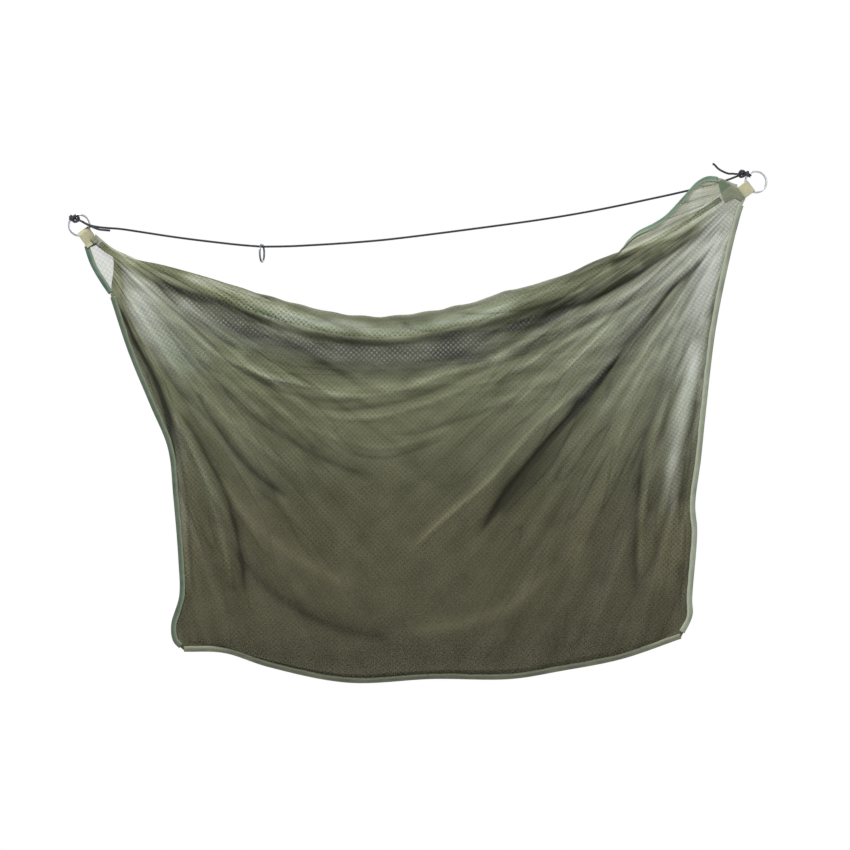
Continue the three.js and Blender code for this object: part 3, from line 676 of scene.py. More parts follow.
# Colours as red, green and blue shares of light
pale_mesh = (0.167, 0.2, 0.124)
low_mesh = (0.13, 0.124, 0.072)
front_mesh_turn = math.radians(45)
back_mesh_turn = math.radians(59)
back_mesh_stretch_share = 1.05
front_cloth = mesh_cloth("front_mesh", (0.132, 0.14, 0.082), (0.1, 0.106, 0.06), pale_mesh, low_mesh,
                         mesh_pitch, front_mesh_turn)
back_cloth = mesh_cloth("back_mesh", (0.13, 0.137, 0.082), (0.1, 0.106, 0.06), pale_mesh, low_mesh,
                        mesh_pitch * back_mesh_stretch_share, back_mesh_turn)

# Tapes: light, dark, inner edge and stitches
rim_tape = tape_cloth(
    "rim_tape", (0.14, 0.24, 0.165), (0.06, 0.105, 0.07), (0.2, 0.24, 0.16), (0.3, 0.36, 0.27))
end_tape_cloth = tape_cloth(
    "end_tape", (0.055, 0.11, 0.085), (0.03, 0.06, 0.045), (0.12, 0.16, 0.11), (0.2, 0.25, 0.19))
back_rim_cloth = tape_cloth(
    "back_rim_tape", (0.26, 0.31, 0.245), (0.17, 0.2, 0.155), (0.25, 0.28, 0.21), (0.3, 0.36, 0.27))
# The right seam's tape, painted lighter than the other tapes: painted light on that side
lit_right_seam_cloth = tape_cloth(
    "right_seam_tape", (0.24, 0.27, 0.2), (0.14, 0.155, 0.11), (0.29, 0.31, 0.24), (0.31, 0.34, 0.26))
# The left seam's tape, painted darker than the other tapes: painted shade along that side
shaded_left_seam_cloth = tape_cloth(
    "left_seam_tape", (0.075, 0.105, 0.07), (0.04, 0.06, 0.038), (0.12, 0.145, 0.095), (0.2, 0.23, 0.16))
seam_tape = tape_cloth(
    "seam_tape", (0.14, 0.155, 0.1), (0.07, 0.08, 0.05), (0.2, 0.21, 0.145), (0.24, 0.27, 0.19))

patch_thread_pitch = 1.1 * MM
patch_relief = 0.15 * MM
webbing_thread_pitch = 1.6 * MM
webbing_relief = 0.25 * MM
patch_cloth = woven_cloth("patch_cloth", (0.2, 0.22, 0.15), (0.12, 0.135, 0.09), patch_thread_pitch,
                          patch_relief, folded=(0.085, 0.12, 0.07))
tan_webbing = woven_cloth("tan_webbing", (0.47, 0.45, 0.3), (0.34, 0.325, 0.2), webbing_thread_pitch,
                          webbing_relief)
pale_thread = thread_finish("stitch_thread", (0.3, 0.33, 0.24), (0.17, 0.19, 0.13))
cord_braid = thread_finish("cord_braid", (0.022, 0.024, 0.034), (0.009, 0.01, 0.014))
steel = steel_finish("ring_steel", (0.42, 0.43, 0.46), (0.2, 0.2, 0.21))
# The slide ring's steel, painted darker than the corner rings' steel: a painted dark reflection
darkened_reflection_steel = steel_finish("slide_ring_steel", (0.16, 0.17, 0.19), (0.07, 0.07, 0.075))


# Camera, then the cords

def make_camera():
    data = bpy.data.cameras.new("camera")
    data.sensor_width = sensor_width_mm
    view_width = 2 * image_middle_px[0] * pixel_size
    data.lens = sensor_width_mm * camera_distance / view_width
    camera = bpy.data.objects.new("camera", data)
    x = (image_middle_px[0] - ring_centre_px[0]) * pixel_size
    z = (ring_centre_px[1] - image_middle_px[1]) * pixel_size
    camera.location = (x, -camera_distance, z)
    camera.rotation_euler = (math.radians(90), 0, 0)
    bpy.context.scene.collection.objects.link(camera)
    bpy.context.scene.camera = camera


# The braid of the cord: its relief, its strands and the length of one turn
cord_plait = (0.16, 8, 9 * MM)
cord_step = 1.2 * MM
cord_sides = 24


def braided_cord(name, route, node):
    line = evenly(curved(in_metres(route)), cord_step)
    build = Build()
    tube(build, line, cord_diameter / 2, sides=cord_sides, plait=cord_plait)
    piece = build.piece(name, cord_braid, body=None, slot="cord", replaces=[node])
    return piece, line


def blend_from_ring(piece):
    """Bakes the cord's placement into its points; the cord keeps no parent."""
    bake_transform(piece)


def make_cords():
    left, left_line = braided_cord("left_cord", left_cord_route, "draw_cord")
    blend_from_ring(left)
    right, right_line = braided_cord("right_cord", right_cord_route, "draw_cord")
    blend_from_ring(right)
    tail, tail_line = braided_cord("left_tail", left_tail_route, "left_cord_tail")
    blend_from_ring(tail)
    tail, tail_line = braided_cord("right_tail", right_tail_route, "right_cord_tail")
    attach(tail, "right_ring_body")


make_camera()
make_cords()


# Rings and knots

def ring_line(middle, radius, first, second, steps=96):
    turns = np.linspace(0, 2 * math.pi, steps, endpoint=False)[:, None]
    return middle + radius * (np.cos(turns) * first + np.sin(turns) * second)


wire_sides = 20
weld_length_share = 0.7
weld_swell_share = 0.13


def wire_ring(name, middle, eye, wire, first, second, weld_angle, body, finish):
    """A ring of round wire with the swelling of its weld."""
    line = ring_line(middle, (eye + wire) / 2, first, second)
    build = Build()
    tube(build, line, wire / 2, sides=wire_sides, closed=True)
    weld = middle + (eye + wire) / 2 * (math.cos(weld_angle) * first + math.sin(weld_angle) * second)
    points = build.points[0]
    near = np.exp(-(np.linalg.norm(points - weld, axis=1) / (weld_length_share * wire)) ** 2)
    spine = np.repeat(line, wire_sides, axis=0)
    build.points[0] = points + (points - spine) * (weld_swell_share * near)[:, None]
    build.piece(name, finish, body=body, slot="steel", replaces=[name.removesuffix("_wire")])


left_weld_angle = math.radians(-20)
right_weld_angle = math.radians(20)
slide_weld_angle = math.radians(-60)


def make_rings():
    wire_ring("left_ring_wire", left_corner.centre, ring_eye, ring_wire, X, Z, left_weld_angle,
              "left_ring_body", steel)
    wire_ring("right_ring_wire", right_corner.centre, ring_eye, ring_wire, X, Z, right_weld_angle,
              "right_ring_body", steel)
    hang = cord_diameter / 2 + cord_gap - slide_ring_eye / 2
    middle = in_metres([slide_ring_place])[0] + hang * Z
    first = math.cos(slide_ring_turn) * X + math.sin(slide_ring_turn) * Y
    wire_ring("slide_ring_wire", middle, slide_ring_eye, slide_ring_wire, first, Z, slide_weld_angle,
              "slide_ring_body", darkened_reflection_steel)


# A tied lump's path from its middle, in shares of its radius: crossing turns of the cord
lump_shares = [
    (-1.0, 0.1, -0.2), (-0.55, -0.75, 0.55), (0.2, -0.8, 0.85), (0.85, -0.1, 0.45), (0.75, 0.7, -0.35),
    (0.0, 0.75, -0.85), (-0.75, 0.15, -0.6), (-0.85, -0.6, 0.1), (-0.2, -0.15, 1.0), (0.6, 0.55, 0.6),
    (0.95, 0.05, -0.3), (0.4, -0.75, -0.75), (-0.45, -0.4, -0.9), (-0.9, 0.55, -0.1), (-0.25, 0.8, 0.7),
    (0.5, 0.1, 0.9), (1.0, -0.35, 0.1),
]
lump_radius = 5.6 * MM
lump_flat_share = 0.8
lump_strand_share = 1.3
hitch_turns = 2.2
hitch_width = 6.6 * MM
hitch_points = 90
knot_step = 0.8 * MM
end_bend_share = 0.12


def knot_piece(name, node, corner, hitch_angle, lump_centre_mm, ends, body):
    """A hitch round the ring's wire, the tied lump beside it and the ends that leave it."""
    lump = in_metres([lump_centre_mm])[0]
    out = np.array([math.cos(hitch_angle), 0, math.sin(hitch_angle)])
    wire_way = np.array([-out[2], 0, out[0]])
    wire_middle = corner.centre + out * (ring_eye + ring_wire) / 2
    radius = ring_wire / 2 + binding_clearance + knot_cord_diameter / 2
    turns = np.linspace(0, hitch_turns * 2 * math.pi, hitch_points)[:, None]
    to_lump = lump - wire_middle
    first = square_to(to_lump, wire_way)
    second = np.cross(wire_way, first)
    shift = (turns / turns[-1] - 0.5) * hitch_width
    hitch = wire_middle + radius * (np.cos(turns) * first + np.sin(turns) * second) + shift * wire_way
    shape = np.array(lump_shares) * lump_radius * np.array([1, lump_flat_share, 1])
    body_line = curved(lump + shape)
    build = Build()
    thick = knot_cord_diameter / 2
    tube(build, evenly(hitch, knot_step), thick, plait=cord_plait)
    tube(build, evenly(body_line, knot_step), lump_strand_share * thick, plait=cord_plait)
    for end in (hitch[0], hitch[-1], *in_metres(ends)):
        bend = mix(lump, end, 0.5) + end_bend_share * np.linalg.norm(end - lump) * Y
        tube(build, evenly(curved([lump, bend, end]), knot_step), thick, plait=cord_plait)
    build.piece(name, cord_braid, body=body, slot="cord", replaces=[node])


left_lump_mm = (-5.4, -7.6, 10.7)
right_lump_mm = (1159.5, 0, 89.6)


def make_knots():
    knot_piece("left_knot_tied", "left_knot", left_corner, left_hitch_angle, left_lump_mm,
               [left_cord_route[0], left_tail_route[0]], "left_ring_body")
    knot_piece("right_knot_tied", "right_knot", right_corner, right_hitch_angle, right_lump_mm,
               [right_cord_route[-1], right_tail_route[0]], "right_ring_body")


make_rings()
make_knots()


# Folds of the front panel in the photograph's pixels, laid out and partly set against its brightness
# Each has its line, its half width at the start and the end, how far it stands out in mm, and how open it is;
# its height also sets its painted shade where it sinks and painted light where it stands out
folds_px = [
    ([(111, 292), (124, 317), (135, 342), (151, 370), (163, 400), (170, 430),
      (176, 470)], 2.5, 5, -8, -0.15),
    ([(117, 262), (121, 290), (128, 318), (142, 345), (158, 372), (172, 400), (190, 430)], 4, 4, 4, -0.2),
    ([(130, 285), (148, 318), (170, 350), (195, 380)], 8, 12, 4, 0.2),
    ([(120, 262), (152, 298), (179, 324), (210, 349), (235, 364), (262, 375), (300, 384)], 3, 5, 6, 0.08),
    ([(150, 276), (179, 308), (197, 324), (219, 339), (245, 354)], 2, 3, -5, -0.1),
    ([(175, 298), (205, 320), (235, 340), (265, 352)], 8, 9, 0, 0.14),
    ([(220, 358), (238, 368), (261, 380), (280, 391), (305, 398), (335, 402),
      (365, 401)], 2.5, 4, -5, -0.06),
    ([(225, 352), (250, 368), (278, 380), (310, 386), (340, 389), (375, 388), (405, 383)], 4, 5, 4, 0.06),
    ([(118, 290), (154, 355), (169, 378), (189, 401), (215, 426), (234, 451), (261, 478),
      (300, 505)], 3, 6, -5, -0.05),
    ([(125, 290), (160, 348), (180, 372), (205, 398), (235, 424), (262, 448), (300, 474)], 3, 6, 4, 0.05),
    ([(140, 300), (190, 362), (215, 385), (250, 415), (290, 440), (330, 462),
      (380, 480)], 3, 7, -4, -0.03),
    ([(135, 285), (215, 362), (245, 386), (280, 410), (315, 430), (360, 445)], 3, 6, 3.5, 0.03),
    ([(170, 400), (177, 420), (192, 449), (208, 487), (215, 510), (224, 545), (232, 590)], 3, 6, 4, 0.14),
    ([(172, 405), (192, 430), (208, 459), (227, 497), (232, 515), (240, 550),
      (246, 600)], 3, 5, -5, -0.06),
    ([(165, 400), (177, 440), (184, 478), (188, 510), (191, 560), (195, 600)], 2.5, 4, -5, -0.06),
    ([(255, 350), (290, 378), (330, 393), (368, 395), (407, 388), (437, 376), (483, 363), (521, 344),
      (560, 326), (588, 313), (630, 292), (662, 272), (705, 240)], 5, 4, 6, 0.08),
    ([(290, 395), (330, 409), (368, 408), (400, 402), (430, 392), (470, 376), (510, 360), (550, 342),
      (590, 322), (640, 297), (690, 262)], 4, 3, -4.5, -0.04),
    ([(300, 400), (340, 417), (378, 416), (426, 403), (464, 388), (502, 376), (540, 357), (579, 334),
      (630, 307), (671, 279), (715, 238)], 5, 3, 5, 0.06),
    ([(500, 333), (521, 325), (560, 312), (598, 297), (625, 282), (650, 266), (680, 246),
      (701, 226)], 4, 3, -8, -0.16),
    ([(610, 275), (640, 252), (659, 241), (686, 229), (701, 219), (722, 208)], 4, 2.5, 5, -0.12),
    ([(560, 285), (610, 262), (636, 254), (658, 245), (683, 237), (705, 224)], 4, 2.5, -4, -0.1),
    ([(480, 410), (540, 384), (579, 357), (630, 317), (660, 290), (700, 254)], 9, 6, 5, 0.08),
    ([(400, 562), (426, 535), (445, 518), (472, 495), (493, 476), (512, 453), (540, 422), (569, 399),
      (598, 372), (630, 342), (655, 314), (690, 268), (722, 228)], 5, 3, 7, 0.04),
    ([(735, 216), (718, 240), (704, 258), (687, 274), (671, 290), (656, 310), (642, 328), (625, 347),
      (598, 384), (569, 418), (540, 451), (517, 480), (493, 514), (470, 545)], 2, 5, -10, -0.15),
    ([(725, 245), (705, 275), (690, 310), (678, 350), (665, 390)], 5, 12, 2.5, 0.16),
    ([(715, 292), (707, 321), (690, 344), (676, 374), (668, 410), (660, 450)], 2.5, 4, -3.5, -0.06),
    ([(722, 262), (713, 283), (707, 320), (701, 359), (690, 400), (680, 440)], 4, 6, 4.5, 0.12),
    ([(734, 229), (727, 244), (723, 257), (716, 287), (711, 317), (706, 346), (699, 386), (691, 428),
      (684, 470), (680, 520), (678, 590)], 2, 4, -5, -0.12),
    ([(690, 330), (656, 432), (649, 466), (642, 523), (640, 580)], 4, 6, 4, 0.05),
    ([(680, 345), (646, 440), (638, 500), (635, 557), (636, 600)], 4, 6, -4, -0.04),
    ([(660, 320), (631, 400), (610, 470), (585, 530), (570, 580)], 6, 10, 3.5, 0.02),
    ([(345, 451), (365, 457), (390, 458), (415, 450), (450, 437)], 2.5, 3, -2.5, 0),
    ([(350, 441), (370, 447), (392, 447), (420, 440), (455, 426)], 3, 3, 2.5, 0.02),
    ([(382, 434), (414, 434), (437, 427), (483, 413), (530, 392)], 2.5, 3, -2.5, -0.02),
    ([(215, 470), (250, 520), (300, 560), (360, 590)], 7, 12, 3, 0),
    ([(225, 540), (270, 590), (330, 625), (400, 640)], 6, 12, -3, 0),
    ([(560, 560), (520, 600), (460, 625), (400, 632)], 8, 12, 3, 0),
]
fold_fade_share = 0.12
fold_height_share = 0.6
crease_core_share = 0.45
valley_shade_per_mm = 0.085
ridge_light_per_mm = 0.085

# Broad strokes of openness and shade that aren't folds: light and dark of the photograph, laid by hand
# They are partly set against its brightness, which scratch programs printed beside the render's
# Each has its line, its half width at the start and the end, how open it is and how much painted light it
# lays on where it lightens, painted shade where it darkens. Each has its line, its half width at the start
# and the end, how open it is and how light or dark
tones_px = [
    ([(108, 249), (125, 257), (145, 266), (170, 274), (200, 281), (236, 291)], 6, 9, -0.5, 0.4),
    ([(228, 297), (262, 310), (300, 320), (340, 326), (382, 328), (415, 326), (460, 318), (500, 308),
      (545, 295)], 6, 7, 0.3, 0.75),
    ([(120, 263), (143, 272), (164, 285), (183, 290), (203, 297), (241, 311), (267, 322), (300, 332),
      (339, 339), (382, 342), (446, 334), (492, 323), (538, 307), (584, 291),
      (612, 272)], 3, 4, -0.4, -0.6),
    ([(488, 334), (505, 328), (522, 323), (541, 317), (560, 307), (580, 299), (600, 289), (622, 278),
      (645, 263)], 7, 5, -0.2, -0.55),
    ([(205, 312), (250, 335), (300, 348), (350, 352), (400, 353), (440, 350), (480, 342),
      (515, 333)], 12, 14, 0.08, -0.42),
    ([(300, 368), (350, 374), (400, 374), (450, 362)], 9, 9, 0, -0.2),
    ([(132, 288), (152, 325), (180, 350), (220, 366)], 12, 16, 0.2, 0.05),
    ([(100, 242), (110, 254), (113, 268), (112, 285), (113, 305), (120, 330)], 6, 5, -0.5, 0.05),
    ([(420, 385), (450, 380), (480, 371), (510, 358)], 8, 6, 0, 0.3),
    ([(112, 292), (130, 330), (148, 368), (160, 395), (168, 420), (173, 440)], 5, 4, -0.1, -0.5),
    ([(176, 440), (184, 490), (188, 540), (190, 600)], 8, 10, 0.1, 0.45),
    ([(674, 440), (670, 500), (668, 550), (666, 600)], 14, 14, 0.05, 0.4),
    ([(655, 250), (636, 262), (615, 276)], 8, 8, -0.05, -0.3),
    ([(664, 300), (650, 316), (637, 332), (621, 350), (605, 368), (592, 384), (578, 402),
      (562, 424)], 6, 8, 0, -0.5),
    ([(704, 205), (684, 218), (660, 234), (634, 250)], 4, 4, -0.35, 0.4),
    ([(726, 235), (712, 275), (700, 310), (692, 350), (688, 390)], 12, 10, 0.12, 0.1),
    ([(700, 325), (691, 375), (681, 405), (677, 430), (671, 460), (666, 490)], 8, 6, 0.24, 0.45),
    ([(712, 190), (700, 200), (680, 215), (655, 236)], 9, 6, 0.1, 0.1),
    ([(746, 200), (739, 222), (732, 250), (725, 288), (719, 330)], 3, 3, -0.25, 0.05),
    ([(735, 212), (722, 232), (710, 252)], 9, 9, 0.12, 0.35),
    ([(582, 292), (600, 281), (622, 270)], 7, 7, -0.3, -0.25),
    ([(440, 412), (500, 448), (560, 400)], 14, 14, 0, -0.08),
    ([(608, 268), (640, 257), (668, 245)], 7, 6, -0.3, -0.35),
    ([(640, 246), (650, 238)], 7, 7, -0.3, 0),
    ([(612, 360), (590, 392), (568, 424), (543, 455), (515, 488), (492, 520)], 8, 13, -0.05, -0.36),
    ([(420, 341), (460, 338), (500, 333), (535, 325), (562, 316)], 9, 9, -0.1, -0.35),
    ([(300, 358), (350, 361), (400, 361), (450, 354)], 10, 10, 0, -0.15),
    ([(535, 362), (510, 380), (490, 405)], 8, 8, 0, -0.2),
    ([(400, 462), (440, 458), (470, 470)], 16, 16, 0, -0.12),
    ([(282, 304), (333, 317), (383, 321), (460, 310), (505, 297), (553, 283)], 2.5, 2.5, -0.1, -0.35),
    ([(270, 345), (345, 362), (400, 366), (455, 357), (520, 336)], 14, 14, -0.02, -0.12),
    ([(268, 311), (295, 318), (325, 322), (352, 323), (380, 325)], 6, 6, 0.05, 1.0),
    ([(425, 326), (450, 321), (478, 318), (500, 310), (524, 303)], 5, 5, 0.05, 0.8),
    ([(172, 271), (200, 280), (230, 290), (262, 300), (298, 310)], 6, 6, 0, 1.1),
    ([(352, 331), (385, 336), (410, 335), (432, 329)], 6, 6, 0.05, 0.6),
    ([(425, 353), (460, 355), (495, 362)], 8, 8, 0, -0.35),
    ([(533, 323), (552, 316), (570, 308)], 5, 5, -0.1, -0.6),
    ([(545, 340), (560, 334), (580, 326)], 4, 4, 0.05, 0.3),
    ([(132, 270), (150, 278), (170, 287), (190, 295), (212, 303)], 4, 4, -0.3, -0.5),
    ([(136, 277), (163, 290), (193, 305), (230, 321), (275, 334)], 10, 11, -0.08, -0.35),
    ([(712, 216), (694, 230), (674, 243), (652, 254), (630, 264), (606, 276)], 6, 6, -0.2, 0.35),
    ([(706, 316), (700, 336)], 4, 4, 0.1, 0.5),
    ([(703, 376), (697, 404)], 4, 4, 0.1, 0.5),
    ([(500, 354), (528, 343), (552, 328), (570, 316)], 8, 8, -0.05, -0.4),
    ([(455, 368), (475, 364), (495, 358)], 6, 6, 0, -0.3),
    ([(608, 266), (624, 260), (640, 257)], 4, 4, -0.2, -0.3),
    ([(638, 263), (652, 257), (666, 250)], 5, 4, -0.2, -0.4),
    ([(558, 374), (580, 354), (600, 337), (624, 316)], 6, 6, 0.05, 0.4),
    ([(108, 258), (114, 270), (118, 284), (118, 300)], 4, 4, -0.3, 0.25),
    ([(124, 272), (140, 300), (160, 332), (184, 358)], 9, 14, 0.06, 0.25),
    ([(104, 248), (122, 257), (140, 267)], 6, 6, 0, 0.4),
    ([(262, 374), (290, 385), (320, 394), (352, 397)], 4, 4, 0, 0.35),
    ([(200, 334), (225, 347), (250, 358)], 6, 6, 0, 0.3),
    ([(676, 310), (664, 335), (652, 362)], 7, 7, 0.05, 0.3),
    ([(683, 495), (681, 530), (679, 570)], 6, 6, 0.05, 0.45),
    ([(694, 266), (677, 285), (662, 303), (648, 321)], 3, 3.5, -0.1, -0.35),
    ([(724, 232), (708, 252), (696, 264)], 5, 5, 0.1, 0.55),
    ([(712, 244), (698, 254), (684, 266)], 6, 5, 0.1, 0.3),
    ([(694, 402), (688, 430), (684, 462)], 5, 5, 0.05, 0.35),
    ([(686, 288), (678, 310), (670, 332)], 4, 4, 0.05, 0.5),
    ([(718, 205), (702, 212), (686, 222)], 5, 5, 0.1, 0.4),
]
# Where the holes of the mesh stand out clearly, and how much more than elsewhere
plain_sharpness = 0.5
dotted_px = [
    ([(158, 283), (200, 301), (240, 317), (290, 335), (340, 348), (400, 353), (460, 345), (520, 328),
      (575, 302)], 17, 13, 1.3),
    ([(280, 314), (320, 322), (370, 325), (430, 320), (480, 310), (520, 300)], 6, 6, -0.6),
    ([(142, 276), (165, 288), (195, 303), (230, 317), (270, 331)], 9, 11, 1.0),
    ([(150, 400), (165, 450), (172, 520), (178, 600)], 10, 10, 0.4),
    ([(712, 200), (690, 222), (660, 245)], 10, 8, 0.2),
    ([(690, 440), (680, 520), (676, 600)], 12, 12, 0.3),
]
# Painted shade: the cloth darker towards the bottom, between these pixel rows
low_shade = -0.4
low_shade_px = (390, 500)
tone_fade_share = 0.2
stroke_steps = 5
stroke_reach_share = 3.2


def seen_pixels(points):
    """Where points appear in the photograph's frame."""
    nearer = camera_distance / (camera_distance + points[..., 1])
    camera_x = (image_middle_px[0] - ring_centre_px[0]) * pixel_size
    camera_z = (ring_centre_px[1] - image_middle_px[1]) * pixel_size
    x = image_middle_px[0] + (points[..., 0] - camera_x) * nearer / pixel_size
    y = image_middle_px[1] - (points[..., 2] - camera_z) * nearer / pixel_size
    return np.stack([x, y], axis=-1)


def distance_to_line(points, line):
    """Distance of each point from a line and the share of the line's length beside it."""
    along = run_along(line)
    best = np.full(len(points), np.inf)
    where = np.zeros(len(points))
    for k, (a, b) in enumerate(zip(line, line[1:])):
        step = b - a
        t = np.clip((points - a) @ step / (step @ step), 0, 1)
        away = np.linalg.norm(points - a - t[:, None] * step, axis=1)
        nearer = away < best
        best[nearer] = away[nearer]
        where[nearer] = (along[k] + t[nearer] * (along[k + 1] - along[k])) / along[-1]
    return best, where


def stroke(pixels, points, start_width, end_width, fade_share):
    """The pixels that a stroke reaches, their distance in half widths and how strong it is there."""
    line = curved(points, stroke_steps)
    reach = stroke_reach_share * max(start_width, end_width)
    inside = np.all((pixels > line.min(0) - reach) & (pixels < line.max(0) + reach), axis=1)
    away, where = distance_to_line(pixels[inside], line)
    width = mix(start_width, end_width, where)
    fade = smooth(where, 0, fade_share) * smooth(1 - where, 0, fade_share)
    return inside, away / width, fade


def stroke_fields(pixels, folds, tones):
    """Height of the folds in metres, how much more open the mesh is and its painted shade and light, at
    pixels.
    """
    flat = pixels.reshape(-1, 2)
    height, opening, shade = np.zeros((3, len(flat)))
    for points, start_width, end_width, stand_mm, opens in folds:
        inside, away, fade = stroke(flat, points, start_width, end_width, fold_fade_share)
        share = np.exp(-(away ** 2)) * fade
        height[inside] += fold_height_share * stand_mm * MM * share
        opening[inside] += opens * share
        # Painted shade along each fold's valley and painted light along its ridge, strongest at its core
        crisp = (np.exp(-((away / crease_core_share) ** 2)) + np.exp(-(away ** 2))) / 2 * fade
        shade[inside] += stand_mm * (ridge_light_per_mm if stand_mm > 0 else valley_shade_per_mm) * crisp
    for points, start_width, end_width, opens, lightens in tones:
        inside, away, fade = stroke(flat, points, start_width, end_width, tone_fade_share)
        share = np.exp(-(away ** 2)) * fade
        opening[inside] += opens * share
        # Painted light where the stroke lightens, painted shade where it darkens
        shade[inside] += lightens * share
    # Painted shade, darker towards the bottom
    shade += low_shade * smooth(flat[:, 1], *low_shade_px)
    return (field.reshape(pixels.shape[:-1]) for field in (height, opening, shade))


def dotted_field(pixels):
    """How clearly the holes stand out at pixels."""
    flat = pixels.reshape(-1, 2)
    sharpness = np.full(len(flat), plain_sharpness)
    for points, start_width, end_width, more in dotted_px:
        inside, away, fade = stroke(flat, points, start_width, end_width, tone_fade_share)
        sharpness[inside] += more * np.exp(-(away ** 2)) * fade
    return sharpness.reshape(pixels.shape[:-1])


def waves(values, low, high, count, seed):
    """A sum of waves between two frequencies, the same each time."""
    draws = np.random.default_rng(seed)
    total = np.zeros_like(values)
    for frequency, phase in zip(draws.uniform(low, high, count), draws.uniform(0, 2 * math.pi, count)):
        total += np.cos(values * frequency + phase)
    return total / math.sqrt(count)


noise_scale_shares = (0.6, 1.6)


def blur_noise(points, scale, count, seed):
    """Soft noise over x and z from slanting waves."""
    draws = np.random.default_rng(seed)
    total = np.zeros(points.shape[:-1])
    for _ in range(count):
        angle, phase = draws.uniform(0, 2 * math.pi, 2)
        frequency = 2 * math.pi / (scale * draws.uniform(*noise_scale_shares))
        way = points[..., 0] * math.cos(angle) + points[..., 2] * math.sin(angle)
        total += np.cos(way * frequency + phase)
    return total / math.sqrt(count)


# Creases that fan out of the corners, between these angles below level
left_fan = (math.radians(24), math.radians(70))
right_fan = (math.radians(33), math.radians(79))
fan_creases = 46
crease_reach = (0.16, 0.75)
crease_width = (3 * MM, 8 * MM)
crease_height = 1.7 * MM
crease_reach_power = 1.6
crease_least_share = 0.3
crease_start = (0.05, 0.16)
crease_narrow_share = 0.4
crease_bend = 0.18
drape_height = 1.0 * MM
drape_reach = 0.22
drape_waves = (90, 260, 7)
drape_drift = 0.01
drape_drift_noise = (0.4, 5)
small_wrinkle_height = 0.4 * MM
small_wrinkle_noise = (0.06, 14)
wrinkle_seed_steps = (1, 2, 5, 20, 30)
# Painted shade and light that each mm of a fine wrinkle's height lays on the cloth, and how much more open it
# makes the mesh
wrinkle_shade_per_mm = 0.1
wrinkle_opening_per_mm = 0.03


def fan(points, corner, side, angles, seed):
    """Fine creases from a corner, each with its own way, length, width and height."""
    draws = np.random.default_rng(seed)
    dx = (points[..., 0] - corner.centre[0]) * side
    dz = corner.centre[2] - points[..., 2]
    far = np.hypot(dx, dz)
    angle = np.arctan2(dz, dx)
    total = np.zeros(points.shape[:-1])
    for spot in np.linspace(0, 1, fan_creases):
        way = mix(*angles, spot + draws.uniform(-0.5, 0.5) / fan_creases)
        reach = mix(*crease_reach, draws.uniform() ** crease_reach_power)
        width = mix(*crease_width, draws.uniform())
        bend = crease_bend * draws.uniform(-1, 1)
        height = crease_height * draws.uniform(crease_least_share, 1) * draws.choice((-1, 1))
        aside = (angle - way - bend * (far - reach / 2) ** 2) * far
        envelope = smooth(far, *crease_start) * np.exp(-((far / reach) ** 4))
        total += height * envelope * np.exp(-((aside / (width * (crease_narrow_share + far / reach))) ** 2))
    return total


def wrinkles(points, seed):
    """Fine creases that fan out of the corners and hang between them."""
    left_seed, right_seed, drift_seed, drape_seed, small_seed = (seed + step for step in wrinkle_seed_steps)
    total = fan(points, left_corner, 1, left_fan, left_seed)
    total += fan(points, right_corner, -1, right_fan, right_seed)
    both = sum(ring_distances(points))
    top = np.exp(-(((both - ring_span) / drape_reach) ** 2))
    drifted = both + drape_drift * blur_noise(points, *drape_drift_noise, drift_seed)
    total += drape_height * top * waves(drifted, *drape_waves, drape_seed)
    return total + small_wrinkle_height * blur_noise(points, *small_wrinkle_noise, small_seed)


# The corners' pleats: name, corner, which way the cloth lies from it, and how far they reach
corner_pulls = [("left", left_corner, 1, 0.72), ("right", right_corner, -1, 0.95)]
pull_start = (0.02, 0.12)
own_side_shares = (0.3, 0.55)
far_side_pull_share = 0.25
hang_reach = 0.16
hang_start = (0.25, 0.45)


def set_pulls(piece, points):
    """Each point's place among the pleats of the corners and of the cloth hung between them."""
    flat = points.reshape(-1, 3)
    fars = []
    for name, corner, side, reach in corner_pulls:
        dx = (flat[:, 0] - corner.centre[0]) * side
        dz = corner.centre[2] - flat[:, 2]
        far = np.hypot(dx, dz)
        fars.append(far)
        set_values(piece, name + "_across", np.arctan2(dz, dx))
        set_values(piece, name + "_along", far)
        own_side = 1 - smooth(dx / ring_span, *own_side_shares)
        pull = np.exp(-((far / reach) ** 3)) * smooth(far, *pull_start)
        set_values(piece, name + "_pull", pull * mix(far_side_pull_share, 1, own_side))
    both = fars[0] + fars[1] - ring_span
    set_values(piece, "hang_across", both)
    set_values(piece, "hang_along", flat[:, 0])
    pull = np.exp(-((both / hang_reach) ** 2)) * smooth(np.minimum(*fars), *hang_start)
    set_values(piece, "hang_pull", pull)


# Panels

def joined_line(stretches, shares):
    """Points at shares of curves laid end to end, each with its own stretch of the shares."""
    points = np.zeros((len(shares), 3))
    start = 0.0
    for line, until in stretches:
        held = (shares >= start) & (shares <= until)
        points[held] = at_shares(line, (shares[held] - start) / (until - start))
        start = until
    return points


